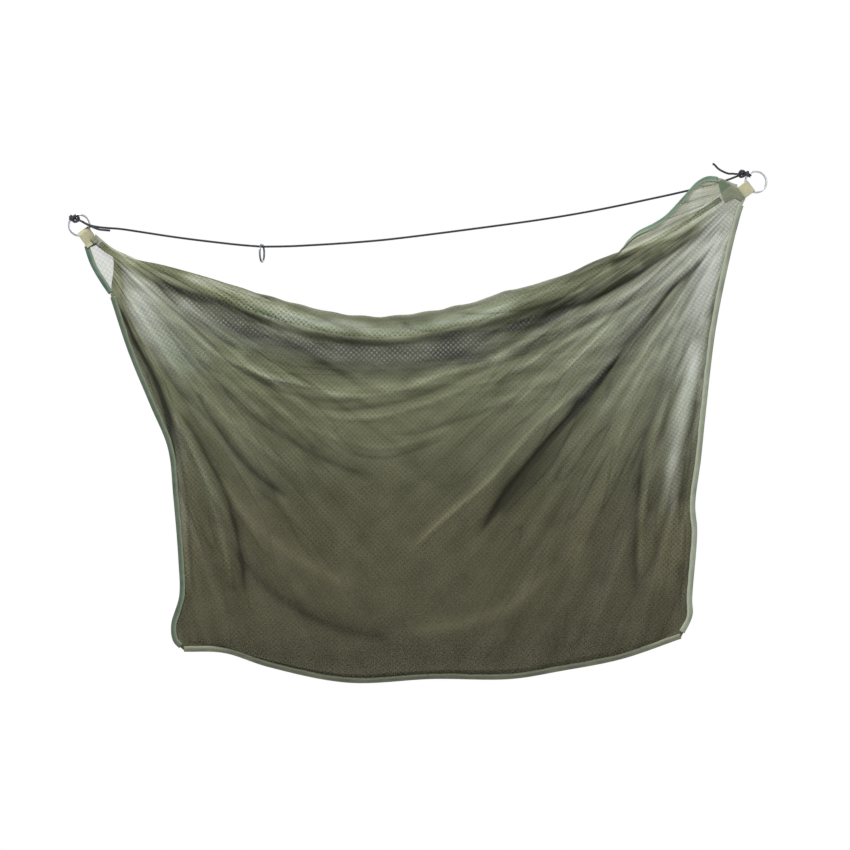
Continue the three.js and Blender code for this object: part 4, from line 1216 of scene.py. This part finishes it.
def panel_patch(top_shares, left_shares, left_corner_aside, across, down):
    """The flat patch between a panel's four sides, as in the part's source."""
    top_left = left_corner.point(tab_reach, corner_half_width)
    low_left = left_corner.point(tab_reach, left_corner_aside)
    top_right = right_corner.point(tab_reach, corner_half_width)
    low_right = right_corner.point(tab_reach, -corner_half_width)
    top = at_shares(curved(np.vstack([top_left, place(top_shares), top_right])), across)
    bottom = at_shares(curved(place(bottom_shares)), across)
    left = joined_line([
        (np.array([top_left, low_left]), corner_share),
        (curved(np.vstack([low_left, place(left_shares)])), mouth_end_share),
        (curved(place(left_side_shares)), 1.0),
    ], down)
    right = joined_line([
        (np.array([top_right, low_right]), corner_share),
        (curved(np.vstack([low_right, place(right_side_shares)])), 1.0),
    ], down)
    a, d = across[None, :, None], down[:, None, None]
    sides = (1 - d) * top[None] + d * bottom[None] + (1 - a) * left[:, None] + a * right[:, None]
    upper = (1 - a) * (1 - d) * top[0] + a * (1 - d) * top[-1]
    lower = (1 - a) * d * bottom[0] + a * d * bottom[-1]
    return sides - (upper + lower)


narrow_width = float(np.linalg.norm(place(bottom_shares)[0] - place(bottom_shares)[-1]))
side_inset_share = seam_width / narrow_width
bottom_inset_share = seam_width / (middle_drop_share * sack_drop)


def panel_depth(points, across, down):
    """Distance of a panel's middle from the seam plane, as in the part's source."""
    inner = np.clip((across - side_inset_share) / (1 - 2 * side_inset_share), 0, 1)[None, :]
    lower = np.clip(down / (1 - bottom_inset_share), 0, 1)[:, None]
    swell = np.sin(math.pi * inner)
    free = smooth(np.minimum(*ring_distances(points)), corner_flat_radius, mouth_open_radius)
    mouth = mouth_half_gap * swell ** mouth_rounding_share
    belly = belly_depth * swell ** side_rounding_share
    depth = mix(mouth, belly, smooth(lower, 0, belly_row_share))
    below = np.clip((lower - belly_row_share) / (1 - belly_row_share), 0, 1)
    depth = np.where(lower > belly_row_share, belly * np.sqrt(1 - below ** 2), depth)
    return rest_middle(points) + free * np.maximum(depth, 0), free


hem_smoothing_spread = np.linspace(-2, 2, 17)


def hem_at(across):
    """The hem's length and turn at shares across the mouth."""
    table = np.array(hem_shares, float)
    spread = hem_smoothing_spread
    weights = np.exp(-spread ** 2)
    near = np.asarray(across)[:, None] + hem_smoothing_share * spread
    length, turn = (np.interp(near, table[:, 0], table[:, k]) @ weights / weights.sum() for k in (1, 2))
    return hem_length * length, hem_turn * turn


def hem_points(starts, lengths, turns):
    """Points at lengths past the fold line, round the hem's radius and on straight."""
    arc = hem_radius * turns
    angle = np.minimum(lengths, arc) / hem_radius
    rest = np.maximum(lengths - arc, 0)
    points = starts.copy()
    points[:, 1] += hem_radius * (1 - np.cos(angle)) + rest * np.sin(turns)
    points[:, 2] += hem_radius * np.sin(angle) + rest * np.cos(turns)
    return points


front_columns = 380
front_rows = 270
hem_rows = 16
back_columns = 240
back_rows = 170
side_hold_share = 0.03
bottom_hold_share = 0.05
mouth_hold_share = 0.06
drift_waves = 6


def panel_shares(columns, rows):
    """Even shares across and down, with one kept at each line that the panel has to follow."""
    across = np.concatenate([np.linspace(0, 1, columns), [side_inset_share, 1 - side_inset_share]])
    down = np.concatenate([np.linspace(0, 1, rows), [corner_share, mouth_end_share]])
    return np.unique(across), np.unique(down)


def fold_hold(across, down, kept_at_mouth):
    """The share of its height that a fold keeps: none in the seams, and less at the mouth."""
    from_side = np.minimum(across, 1 - across)[None, :]
    hold = smooth(from_side, side_inset_share, side_inset_share + side_hold_share)
    hold = hold * smooth(1 - down, bottom_inset_share, bottom_inset_share + bottom_hold_share)[:, None]
    return hold * mix(kept_at_mouth, 1, smooth(down, 0.0, mouth_hold_share)[:, None])


def drifted_uv(points, scale, height, seeds):
    """Places on the cloth, with a slow wandering of the rows of its mesh."""
    drift = np.stack([blur_noise(points, scale, drift_waves, seed) for seed in seeds], axis=-1)
    return points[..., [0, 2]] + drift * height


def base_coverage(pixels, corner_open, corner_reach_px, middle):
    """How closed the mesh is: open where the corners stretch it, closed in the belly."""
    value = np.full(pixels.shape[:-1], middle)
    for corner, reach in zip((left_corner, right_corner), corner_reach_px):
        far = np.linalg.norm(pixels - seen_pixels(corner.centre), axis=-1)
        value = value - corner_open * np.exp(-((far / reach) ** 2))
    return value


# How much the front's corners are open, how far in pixels, how closed its middle is, and its limits
front_corner_opening = 0.12
front_corner_reach_px = (150, 230)
front_middle_coverage = 0.86
front_coverage_limits = (0.16, 0.98)


def front_coverage(pixels, opening):
    value = base_coverage(pixels, front_corner_opening, front_corner_reach_px, front_middle_coverage)
    return np.clip(value - opening, *front_coverage_limits)


fold_wave_height = 1.1 * MM
fold_waves = (30, 130, 8)
fold_wave_seed = 91
fold_wave_left_shares = (0.15, 0.3)
fold_wave_right_shares = (0.18, 0.3)
fold_wave_reach = 22 * MM
fold_lump_px = [(505, 3.2, 9), (452, 1.6, 8), (545, 1.5, 10), (318, 1.5, 9)]


def fold_line_wave(body, across):
    """The unevenness of the fold line: soft waves, and lumps given by pixel, height in mm and half width."""
    x = body[0, :, 0]
    pixels = seen_pixels(body[0])[:, 0]
    rise = fold_wave_height * waves(x, *fold_waves, fold_wave_seed)
    for middle, height_mm, width in fold_lump_px:
        rise = rise + height_mm * MM * np.exp(-(((pixels - middle) / width) ** 2))
    held = smooth(across, *fold_wave_left_shares) * smooth(1 - across, *fold_wave_right_shares)
    below = np.linalg.norm(body - body[:1], axis=-1)
    return (rise * held)[None, :] * np.exp(-((below / fold_wave_reach) ** 2))


front_wrinkle_seed = 100
front_mouth_fold_share = 0.35
corner_fold_share = 0.25
crumple_noise = (0.05, 12, 7)
crumple_height = 0.8 * MM
crumple_start = (4 * MM, 20 * MM)
front_drift_scale = 0.25
front_drift = 1.6 * MM
front_drift_seeds = (51, 52)

# The hem's coverage and painted light where it stands up and where it is turned in, and its closed left end
standing_hem_coverage = 0.88
turned_hem_coverage = 0.7
left_hem_coverage = 0.3
left_hem_shares = (0.1, 0.26)
greatest_hem_coverage = 0.95
standing_hem_light = 0.75
turned_hem_light = 0.1


def make_front():
    across, down = panel_shares(front_columns, front_rows)
    body = panel_patch(fold_line_shares, window_shares, 0.0, across, down)
    depth, free = panel_depth(body, across, down)
    body[..., 1] = -depth
    body[..., 2] += fold_line_wave(body, across)
    pixels = seen_pixels(body)
    height, opening, shade = stroke_fields(pixels, folds_px, tones_px)
    fine = wrinkles(body, front_wrinkle_seed)
    opening += fine / MM * wrinkle_opening_per_mm
    shade += fine / MM * wrinkle_shade_per_mm
    hold = fold_hold(across, down, front_mouth_fold_share)
    stand = (height + fine) * hold * mix(corner_fold_share, 1.0, free)
    body[..., 1] = -np.maximum(depth + stand, seam_middle)
    lengths, turns = hem_at(across)
    shares = np.linspace(1, 0, hem_rows, endpoint=False)
    hem = np.array([hem_points(body[0], lengths * share, turns) for share in shares])
    crumple = blur_noise(hem, *crumple_noise) * crumple_height * np.linspace(1, 0, hem_rows)[:, None]
    hem[..., 1] += crumple * smooth(lengths, *crumple_start)[None, :]
    grid = np.concatenate([hem, body])
    coverage = front_coverage(pixels, opening)
    turned = (turns / hem_turn)[None, :]
    near_left = 1 - smooth(across, *left_hem_shares)[None, :]
    hem_coverage = mix(standing_hem_coverage, turned_hem_coverage, turned) + left_hem_coverage * near_left
    hem_coverage = np.clip(hem_coverage, 0, greatest_hem_coverage)
    coverage = np.concatenate([np.repeat(hem_coverage, hem_rows, axis=0), coverage])
    hem_shade = mix(shade[:1] + standing_hem_light, turned_hem_light, turned)
    shade = np.concatenate([np.repeat(hem_shade, hem_rows, axis=0), shade])
    uv = drifted_uv(grid, front_drift_scale, front_drift, front_drift_seeds)
    hem_run = np.outer(shares, lengths)
    uv[:hem_rows, :, 1] = uv[hem_rows, :, 1] + hem_run
    piece = new_piece("front_mesh", grid.reshape(-1, 3), grid_faces(*grid.shape[:2]), front_cloth,
                      slot="mesh", replaces=["front_panel"], uv=uv.reshape(-1, 2))
    set_values(piece, "coverage", coverage)
    set_values(piece, "shade", shade)
    set_values(piece, "sharpness", dotted_field(seen_pixels(grid)))
    set_pulls(piece, grid)
    return piece, grid, across


# How much the back's corners are open, how far in pixels, how closed its middle is, and its limits
# A strip below its rim is more open: pixels below the rim, shares across and how much
back_corner_opening = 0.6
back_corner_reach_px = (120, 200)
back_middle_coverage = 0.97
back_coverage_limits = (0.16, 0.97)
light_strip_px = (14, 70)
light_strip_shares = (0.03, 0.12)
light_strip_opening = 0.27


def back_coverage(pixels, below_px, across):
    value = base_coverage(pixels, back_corner_opening, back_corner_reach_px, back_middle_coverage)
    strip = 1 - smooth(below_px, *light_strip_px)
    middle = smooth(across, *light_strip_shares)[None, :]
    value = value - light_strip_opening * strip * middle
    return np.clip(value, *back_coverage_limits)


back_folds_px = [
    ([(100, 255), (150, 330), (220, 430), (300, 520)], 5, 14, 6, 0.04),
    ([(115, 262), (200, 350), (320, 430), (430, 470)], 5, 14, -5, 0),
    ([(735, 205), (660, 300), (560, 410), (450, 500)], 5, 14, 7, 0.04),
    ([(725, 215), (690, 330), (650, 450), (620, 580)], 5, 12, -6, 0),
    ([(715, 200), (600, 300), (480, 370), (380, 390)], 5, 12, 5, 0),
]
back_tones_px = [
    ([(716, 240), (702, 290), (690, 330)], 10, 12, 0.18, 0),
    ([(700, 320), (691, 375), (681, 420), (674, 470), (670, 530)], 7, 7, 0.3, 0),
    ([(112, 270), (126, 310), (146, 350), (165, 390)], 9, 4, 0.25, 0),
    ([(170, 400), (176, 440), (181, 490), (184, 560)], 5, 5, 0.15, 0),
]


back_wrinkle_seed = 400
back_drift_scale = 0.22
back_drift = 1.8 * MM
back_drift_seeds = (61, 62)


def make_back():
    across, down = panel_shares(back_columns, back_rows)
    body = panel_patch(back_rim_shares, mouth_end_shares, -corner_half_width, across, down)
    depth, free = panel_depth(body, across, down)
    body[..., 1] = depth
    pixels = seen_pixels(body)
    height, opening, shade = stroke_fields(pixels, back_folds_px, back_tones_px)
    fine = wrinkles(body, back_wrinkle_seed)
    shade += fine / MM * wrinkle_shade_per_mm
    stand = (height + fine) * fold_hold(across, down, 0) * free
    body[..., 1] = np.maximum(depth + stand, seam_middle)
    below = np.linalg.norm(body - body[:1], axis=-1) / pixel_size
    coverage = back_coverage(pixels, below, across) - opening
    uv = drifted_uv(body, back_drift_scale, back_drift, back_drift_seeds)
    piece = new_piece("back_mesh", body.reshape(-1, 3), grid_faces(*body.shape[:2], flip=True), back_cloth,
                      slot="mesh", replaces=["back_panel"], uv=uv.reshape(-1, 2))
    set_values(piece, "coverage", coverage)
    set_values(piece, "shade", shade)
    set_values(piece, "sharpness", np.full(body.shape[:-1], plain_sharpness))
    set_pulls(piece, body)
    return piece, body, down


# Binding tape

tape_gap = 0.12 * MM
tape_puff = 0.12 * MM
tape_round_points = 9
tape_flat_points = 4
tape_flat_end = 0.6 * MM
tape_round_share = 0.8
tape_inner_round_share = 0.5


def tape_section(half_stack):
    """The folded tape round a cloth's edge: inward and outward distances, and the run across the tape."""
    slot = half_stack + tape_gap
    outside = slot + binding_thickness
    turns = np.linspace(math.pi / 2, 3 * math.pi / 2, tape_round_points)
    round_end = min(outside, binding_thickness + seam_middle + mesh_thickness) * tape_round_share
    inner_end = tape_inner_round_share * round_end
    outer = [(round_end * math.cos(t) - binding_clearance, outside * math.sin(t)) for t in turns]
    inner = [(inner_end * math.cos(t) - binding_clearance, slot * math.sin(t)) for t in turns[::-1]]
    flat = np.linspace(binding_inside, tape_flat_end, tape_flat_points)
    puffs = tape_puff * np.sin(np.linspace(0, math.pi, tape_flat_points))
    top = [(x, outside + puff) for x, puff in zip(flat, puffs)]
    low = [(x, -y) for x, y in top[::-1]]
    return np.array([*top, *outer, *low, (binding_inside, -slot), *inner, (binding_inside, slot)])


# The waviness of a sewn tape: least and greatest frequency and count of its waves
ripple_waves = (80, 420, 8)
ripple_height = 0.22 * MM
edge_waves = (60, 200, 6)
edge_wave_height = 0.3 * MM


def bind(name, node, edges, inward, normals, half_stack, material, seed):
    """Sweeps the tape's section along an edge, with the slight waviness of a sewn tape."""
    section = np.array([tape_section(half) for half in np.broadcast_to(half_stack, len(edges))])
    along = run_along(edges)
    ripple = waves(along, *ripple_waves, seed) * ripple_height
    wave = waves(along, *edge_waves, seed + 1) * edge_wave_height
    inside = section[..., 0] + wave[:, None] * (section[..., 0] > 0)
    outside = section[..., 1] + ripple[:, None]
    points = edges[:, None] + inside[..., None] * inward[:, None] + outside[..., None] * normals[:, None]
    uv = np.stack(np.broadcast_arrays(along[:, None], section[..., 0]), axis=-1)
    faces = tube_faces(*section.shape[:2])
    if np.cross(inward[0], normals[0]) @ (edges[1] - edges[0]) <= 0:
        faces = [face[::-1] for face in faces]
    build = Build()
    build.add(points, faces, uv)
    return build.piece(name, material, slot="binding", replaces=[node])


def grid_normals(grid, facing):
    fall = np.gradient(grid, axis=0)
    side = np.gradient(grid, axis=1)
    return unit(np.cross(side, fall)) * -facing


inner_row = 3


def rim_stations(grid, facing, keep):
    normals = grid_normals(grid, facing)[0]
    inward = square_to(grid[inner_row] - grid[0], normals)
    return grid[0][keep], inward[keep], normals[keep]


def clear_of_corners(points, left_clear, right_clear):
    left_far, right_far = ring_distances(points)
    return (left_far > left_clear) & (right_far > right_clear)


def make_rim_tapes(front_grid, front_across, back_grid):
    lengths, turns = hem_at(front_across)
    reaches = patch_reach(left_patch_shares), patch_reach(right_front_patch_shares)
    clear = clear_of_corners(front_grid[0], *reaches)
    keep = clear & (lengths > hem_radius * turns + edge_inset)
    first = bind("front_rim_tape", "front_rim_binding",
                 *rim_stations(front_grid, -1, keep), mesh_thickness / 2, rim_tape, 21)
    clear = clear_of_corners(back_grid[0], *reaches)
    second = bind("back_rim_tape", "back_rim_binding",
                  *rim_stations(back_grid, 1, clear), mesh_thickness / 2, back_rim_cloth, 23)
    return first, second


inner_column = 2
mouth_end_tape_shares = (0.035, 0.158)
mouth_end_step = 2.5 * MM


def mouth_end_tape(back_grid, down):
    column, inner = back_grid[:, 0], back_grid[:, inner_column]
    start, end = mouth_end_tape_shares
    keep = (down >= start) & (down <= end)
    edges = evenly(column[keep], mouth_end_step)
    inners = at_shares(inner[keep], np.linspace(0, 1, len(edges)))
    ways = unit(np.gradient(edges, axis=0))
    inward = square_to(inners - edges, ways)
    normals = unit(np.cross(ways, inward))
    normals *= np.sign(normals[:, 1:2])
    return bind("mouth_end_tape", "mouth_end_binding", edges, inward, normals, mesh_thickness / 2,
                end_tape_cloth, 31)


seam_step = 3 * MM


def seam_tape_piece(name, node, edge_line, middle, start_gap, end_gap, material, seed):
    """Tape over both panels' edges, in the plane of the seam."""
    line = edge_line.copy()
    line[:, 1] = 0
    total = run_along(line)[-1]
    shares = np.linspace(start_gap / total, 1 - end_gap / total, round(total / seam_step))
    edges = at_shares(line, shares)
    ways = unit(np.gradient(edges, axis=0))
    inward = np.cross(ways, Y)
    inward *= np.sign(((middle - edges) * inward).sum(1, keepdims=True))
    normals = np.broadcast_to(Y, edges.shape)
    half_stack = rest_middle(edges) + mesh_thickness / 2
    return bind(name, node, edges, inward, normals, half_stack, material, seed)


left_tape_start = 2 * MM
right_tape_start = 14 * MM
side_tape_end = 9 * MM
side_line_points = 400
sack_middle_shares = [(0.53, -0.5)]


def make_seam_tapes():
    middle = place(sack_middle_shares)[0]
    left = curved(place(left_side_shares))
    right = curved(np.vstack([right_corner.point(tab_reach, -corner_half_width), place(right_side_shares)]))
    bottom = curved(place(bottom_shares))
    along = run_along(right)
    right = at_shares(right, np.linspace(right_tape_start / along[-1], 1, side_line_points))
    return [
        seam_tape_piece("left_side_tape", "left_side_binding", left, middle, left_tape_start, side_tape_end,
                        shaded_left_seam_cloth, 41),
        seam_tape_piece("right_side_tape", "right_side_binding", right, middle, 0.0, side_tape_end,
                        lit_right_seam_cloth, 43),
        seam_tape_piece("bottom_tape", "bottom_binding", bottom, middle, 0.0, 0.0, seam_tape, 45),
    ]


# Corner patches, tabs and stitches

# Outlines of the patches in webbing widths, away from the tab's end and towards the mouth
right_patch_shares = [
    (0, 0.5), (0, -0.5), (0.4, -0.5), (0.63, -0.03), (1.45, 0.13), (1.22, 0.9), (0.24, 0.82),
]
left_patch_shares = [(0, 0.5), (0, -0.5), (0.42, -0.42), (0.55, 0.1), (0.42, 0.5)]
left_front_patch_shares = [(0, 0.5), (0, 0.04), (0.42, 0.12), (0.5, 0.3), (0.42, 0.5)]
right_front_patch_shares = [
    (0, 0.5), (0, -0.5), (0.4, -0.5), (0.63, -0.03), (1.45, 0.13), (1.3, 0.85), (0.9, 1.75), (0.6, 1.7),
    (0.36, 1.2), (0.2, 0.78),
]
patch_rings = 10


def patch_reach(shares):
    """How far a patch reaches from its ring's centre."""
    outline = np.array(shares) * webbing_width + (tab_reach + layer_gap, 0)
    return float(np.linalg.norm(outline, axis=1).max())


def rounded_outline(points, radius, steps=6):
    """A closed outline with its corners rounded."""
    points = np.array(points, float)
    line = []
    for before, corner, after in zip(np.roll(points, 1, 0), points, np.roll(points, -1, 0)):
        a = corner + unit(before - corner) * radius
        b = corner + unit(after - corner) * radius
        t = np.linspace(0, 1, steps)[:, None]
        line.append((1 - t) ** 2 * a + 2 * t * (1 - t) * corner + t ** 2 * b)
    return np.vstack(line)


stitch_pitch = 3.4 * MM
stitch_length = 2.5 * MM
stitch_width = 0.75 * MM
stitch_rings = 7
stitch_sides = 6
stitch_end_share = 0.02
stitch_flat_share = 0.8
stitch_way_share = 0.01


def stitch(build, middle, way, normal, length, width):
    """One stitch: a short rounded thread half sunk in the cloth."""
    steps = np.linspace(-1, 1, stitch_rings)
    size = np.sqrt(np.clip(1 - steps ** 4, stitch_end_share, 1))
    side = np.cross(way, normal)
    turns = np.linspace(0, 2 * math.pi, stitch_sides, endpoint=False)
    ring = np.cos(turns)[:, None] * side + stitch_flat_share * np.sin(turns)[:, None] * normal
    rings = [middle + way * (s * length / 2) + width / 2 * w * ring for s, w in zip(steps, size)]
    faces = tube_faces(stitch_rings, stitch_sides)
    uv = np.stack([np.repeat(steps * length / 2, len(turns)), np.tile(turns, len(steps))], axis=-1)
    build.add(np.vstack(rings), faces, uv)


def stitch_row(build, line, normal):
    total = run_along(line)[-1]
    count = max(2, round(total / stitch_pitch))
    shares = (np.arange(count) + 0.5) / count
    spots = at_shares(line, shares)
    after = at_shares(line, np.minimum(shares + stitch_way_share, 1))
    before = at_shares(line, np.maximum(shares - stitch_way_share, 0))
    ways = unit(after - before)
    for spot, way in zip(spots, ways):
        stitch(build, spot, way, normal, stitch_length, stitch_width)


patch_corner_radius = 1.2 * MM
patch_puff = 0.5 * MM
patch_rumple = 0.15 * MM
patch_rumple_noise = (12 * MM, 8)
patch_stitch_share = 0.86
patch_stitch_stand = 0.15 * MM


def patch_piece(name, node, corner, shares, facing, seed):
    """A corner patch: cloth with a soft edge, slightly puffed between its stitches."""
    outline = rounded_outline(np.array(shares) * webbing_width, patch_corner_radius)
    outline[:, 0] += tab_reach + layer_gap
    middle = outline.mean(0)
    rings = np.linspace(1, 0, patch_rings)
    flat = np.array([middle + (outline - middle) * ring for ring in rings])
    rim = np.sqrt(np.clip(1 - rings ** 6, 0, 1))[:, None]
    puff = patch_puff * np.sin(math.pi * rings)[:, None] ** 2
    upright = np.insert(flat, 1, 0, axis=-1)
    rumple = patch_rumple * blur_noise(upright, *patch_rumple_noise, seed)
    height = patch_thickness / 2 * rim + (puff + rumple) * rim
    base = facing * patch_middle
    sign = 1 if corner.across[1] > 0 else -1
    outer = corner.point(flat[..., 0], flat[..., 1])
    inner = outer.copy()
    outer[..., 1] = base + facing * height
    inner[..., 1] = base - facing * patch_thickness / 2 * rim
    build = Build()
    count = len(outline)
    flip = sign * facing < 0
    build.add(outer, grid_faces(patch_rings, count, wrap=True, flip=flip), flat)
    build.add(inner, grid_faces(patch_rings, count, wrap=True, flip=not flip), flat)
    build.piece(name, patch_cloth, slot="patch", replaces=[node])
    seams = Build()
    inset = middle + (np.vstack([outline, outline[:1]]) - middle) * patch_stitch_share
    line = corner.point(inset[:, 0], inset[:, 1])
    line[:, 1] = base + facing * (patch_thickness / 2 + patch_stitch_stand)
    stitch_row(seams, line, facing * Y)
    seams.piece(name + "_stitches", pale_thread, slot="patch")


wire_near = math.sqrt((ring_eye / 2) ** 2 - (webbing_width / 2) ** 2)
wire_far = ring_eye / 2 + ring_wire
loop_middle = (wire_near + wire_far) / 2
loop_radius = (wire_far - wire_near) / 2 + ring_clearance
tab_close_at = loop_middle + loop_radius + tab_close_length
loop_points = 40


def tab_line(radius, leg_height):
    """One side of the tab's section, round the loop from one leg to the other."""
    reach = math.hypot(tab_close_at - loop_middle, leg_height)
    touch = math.atan2(leg_height, tab_close_at - loop_middle) + math.acos(radius / reach)
    turns = np.linspace(touch, 2 * math.pi - touch, loop_points)
    loop = np.stack([loop_middle + radius * np.cos(turns), radius * np.sin(turns)], axis=1)
    end = tab_reach + tab_sewn_length
    top = np.array([(end, leg_height), (tab_close_at, leg_height)])
    return np.vstack([top, loop, top[::-1] * (1, -1)])


rib_count = 9
rib_height = 0.14 * MM
tab_rows = 90
tab_columns = 61
tab_stitch_rows = (0.8 * MM, 3.2 * MM)
tab_stitch_width_share = 0.4
tab_stitch_points = 20
tab_stitch_stand = 0.05 * MM


def tab_piece(name, node, corner):
    """A webbing tab: one ribbed strip folded round the ring, with its bar of stitches."""
    shares = np.linspace(0, 1, tab_rows)
    outside = at_shares(tab_line(loop_radius + webbing_thickness, tab_half_stack), shares)
    inside = at_shares(tab_line(loop_radius, layer_gap / 2), shares)
    run = shares * run_along(outside)[-1]
    asides = np.linspace(-1, 1, tab_columns)
    edge = np.sqrt(np.clip(1 - asides ** 16, 0, 1))
    rib = rib_height * np.abs(np.cos(asides * math.pi * rib_count / 2))
    middle = (outside + inside) / 2
    half = (outside - inside) / 2
    way = unit(half)
    build = Build()
    for sign, flip in ((1, False), (-1, True)):
        to_face = half[:, None] * (sign * edge)[None, :, None]
        ribbed = way[:, None] * (sign * (rib - rib_height))[None, :, None]
        section = middle[:, None] + to_face + ribbed
        aside = np.broadcast_to(asides * webbing_width / 2, section.shape[:2])
        points = corner.point(section[..., 0], aside, section[..., 1])
        uv = np.stack([np.broadcast_to(run[:, None], aside.shape), aside], axis=-1)
        build.add(points, grid_faces(tab_rows, tab_columns, flip=flip != (corner.across[1] > 0)), uv)
    piece = build.piece(name, tan_webbing, slot="webbing", replaces=[node])
    seams = Build()
    half_width = tab_stitch_width_share * webbing_width
    asides = np.linspace(-half_width, half_width, tab_stitch_points)
    for facing in (1, -1):
        for row in tab_stitch_rows:
            fars = np.full(tab_stitch_points, tab_close_at + row)
            outs = np.full(tab_stitch_points, facing * (tab_half_stack + tab_stitch_stand))
            stitch_row(seams, corner.point(fars, asides, outs), facing * corner.across)
    seams.piece(name + "_stitches", pale_thread, slot="webbing")
    return piece


# The patches: the node they stand for, corner, outline, which way they face and seed
patch_rows = [
    ("left_front_patch", left_corner, left_front_patch_shares, -1, 71),
    ("left_back_patch", left_corner, left_patch_shares, 1, 72),
    ("right_front_patch", right_corner, right_front_patch_shares, -1, 73),
    ("right_back_patch", right_corner, right_patch_shares, 1, 74),
]


def make_corners():
    for node, *settings in patch_rows:
        patch_piece(node + "_cloth", node, *settings)
    return [
        tab_piece("left_tab_webbing", "left_webbing_tab", left_corner),
        tab_piece("right_tab_webbing", "right_webbing_tab", right_corner),
    ]


front_piece, front_grid, front_across = make_front()
back_piece, back_grid, back_down = make_back()
front_tape, back_tape = make_rim_tapes(front_grid, front_across, back_grid)
end_tape = mouth_end_tape(back_grid, back_down)
seam_tapes = make_seam_tapes()
tab_pieces = make_corners()


# Floor, light and background

def make_floor():
    """A pale plate on the ground, below what the camera sees."""
    half_width, front, back, level, thickness = 1.6, -1.6, 1.0, -1.25, 0.02
    x = ring_span / 2
    left, right = x - half_width, x + half_width
    corners = [(left, front), (right, front), (right, back), (left, back)]
    points = [(*corner, z) for z in (level - thickness, level) for corner in corners]
    faces = [(3, 2, 1, 0), (4, 5, 6, 7), (0, 1, 5, 4), (1, 2, 6, 5), (2, 3, 7, 6), (3, 0, 4, 7)]
    floor = new_piece("floor", points, [list(face) for face in faces], floor_finish(), body=None)
    floor.data.polygons.foreach_set("use_smooth", [False] * len(faces))


# The lamps: name, place, size in metres and power in watts
lamps = [
    ("key_lamp", (-0.7, -2.0, 3.0), 1.0, 190),
    ("fill_lamp", (2.6, -3.0, 0.6), 2.0, 35),
    ("back_lamp", (1.6, 2.8, 1.4), 2.0, 55),
]
lamp_target = (0.6, 0, -0.35)
background_light = 0.45
background_seen = 1.0
background_colour = (1, 1, 1)


def area_lamp(name, location, size, power):
    data = bpy.data.lights.new(name, "AREA")
    data.size = size
    data.energy = power
    lamp = bpy.data.objects.new(name, data)
    lamp.location = location
    way = np.array(lamp_target) - np.array(location)
    lamp.rotation_euler = (math.atan2(math.hypot(way[0], way[1]), -way[2]), 0, math.atan2(-way[0], way[1]))
    bpy.context.scene.collection.objects.link(lamp)


def make_light():
    """The lamps, and a background that lights the sack less than the camera sees it."""
    for lamp in lamps:
        area_lamp(*lamp)
    world = bpy.data.worlds.new("studio")
    world.use_nodes = True
    bpy.context.scene.world = world
    nodes = Nodes(world.node_tree)
    nodes.tree.nodes.clear()
    rays = nodes.node("LightPath").outputs
    clear = nodes.math("MAXIMUM", rays["Is Glossy Ray"], rays["Is Transmission Ray"])
    seen = nodes.math("MAXIMUM", rays["Is Camera Ray"], clear)
    strength = nodes.ramp(seen, 0.0, 1.0, background_light, background_seen)
    background = nodes.node("Background", {"Color": background_colour, "Strength": strength})
    nodes.node("OutputWorld", {"Surface": background.outputs[0]})


make_floor()
make_light()
bpy.context.scene.view_settings.view_transform = "Standard"
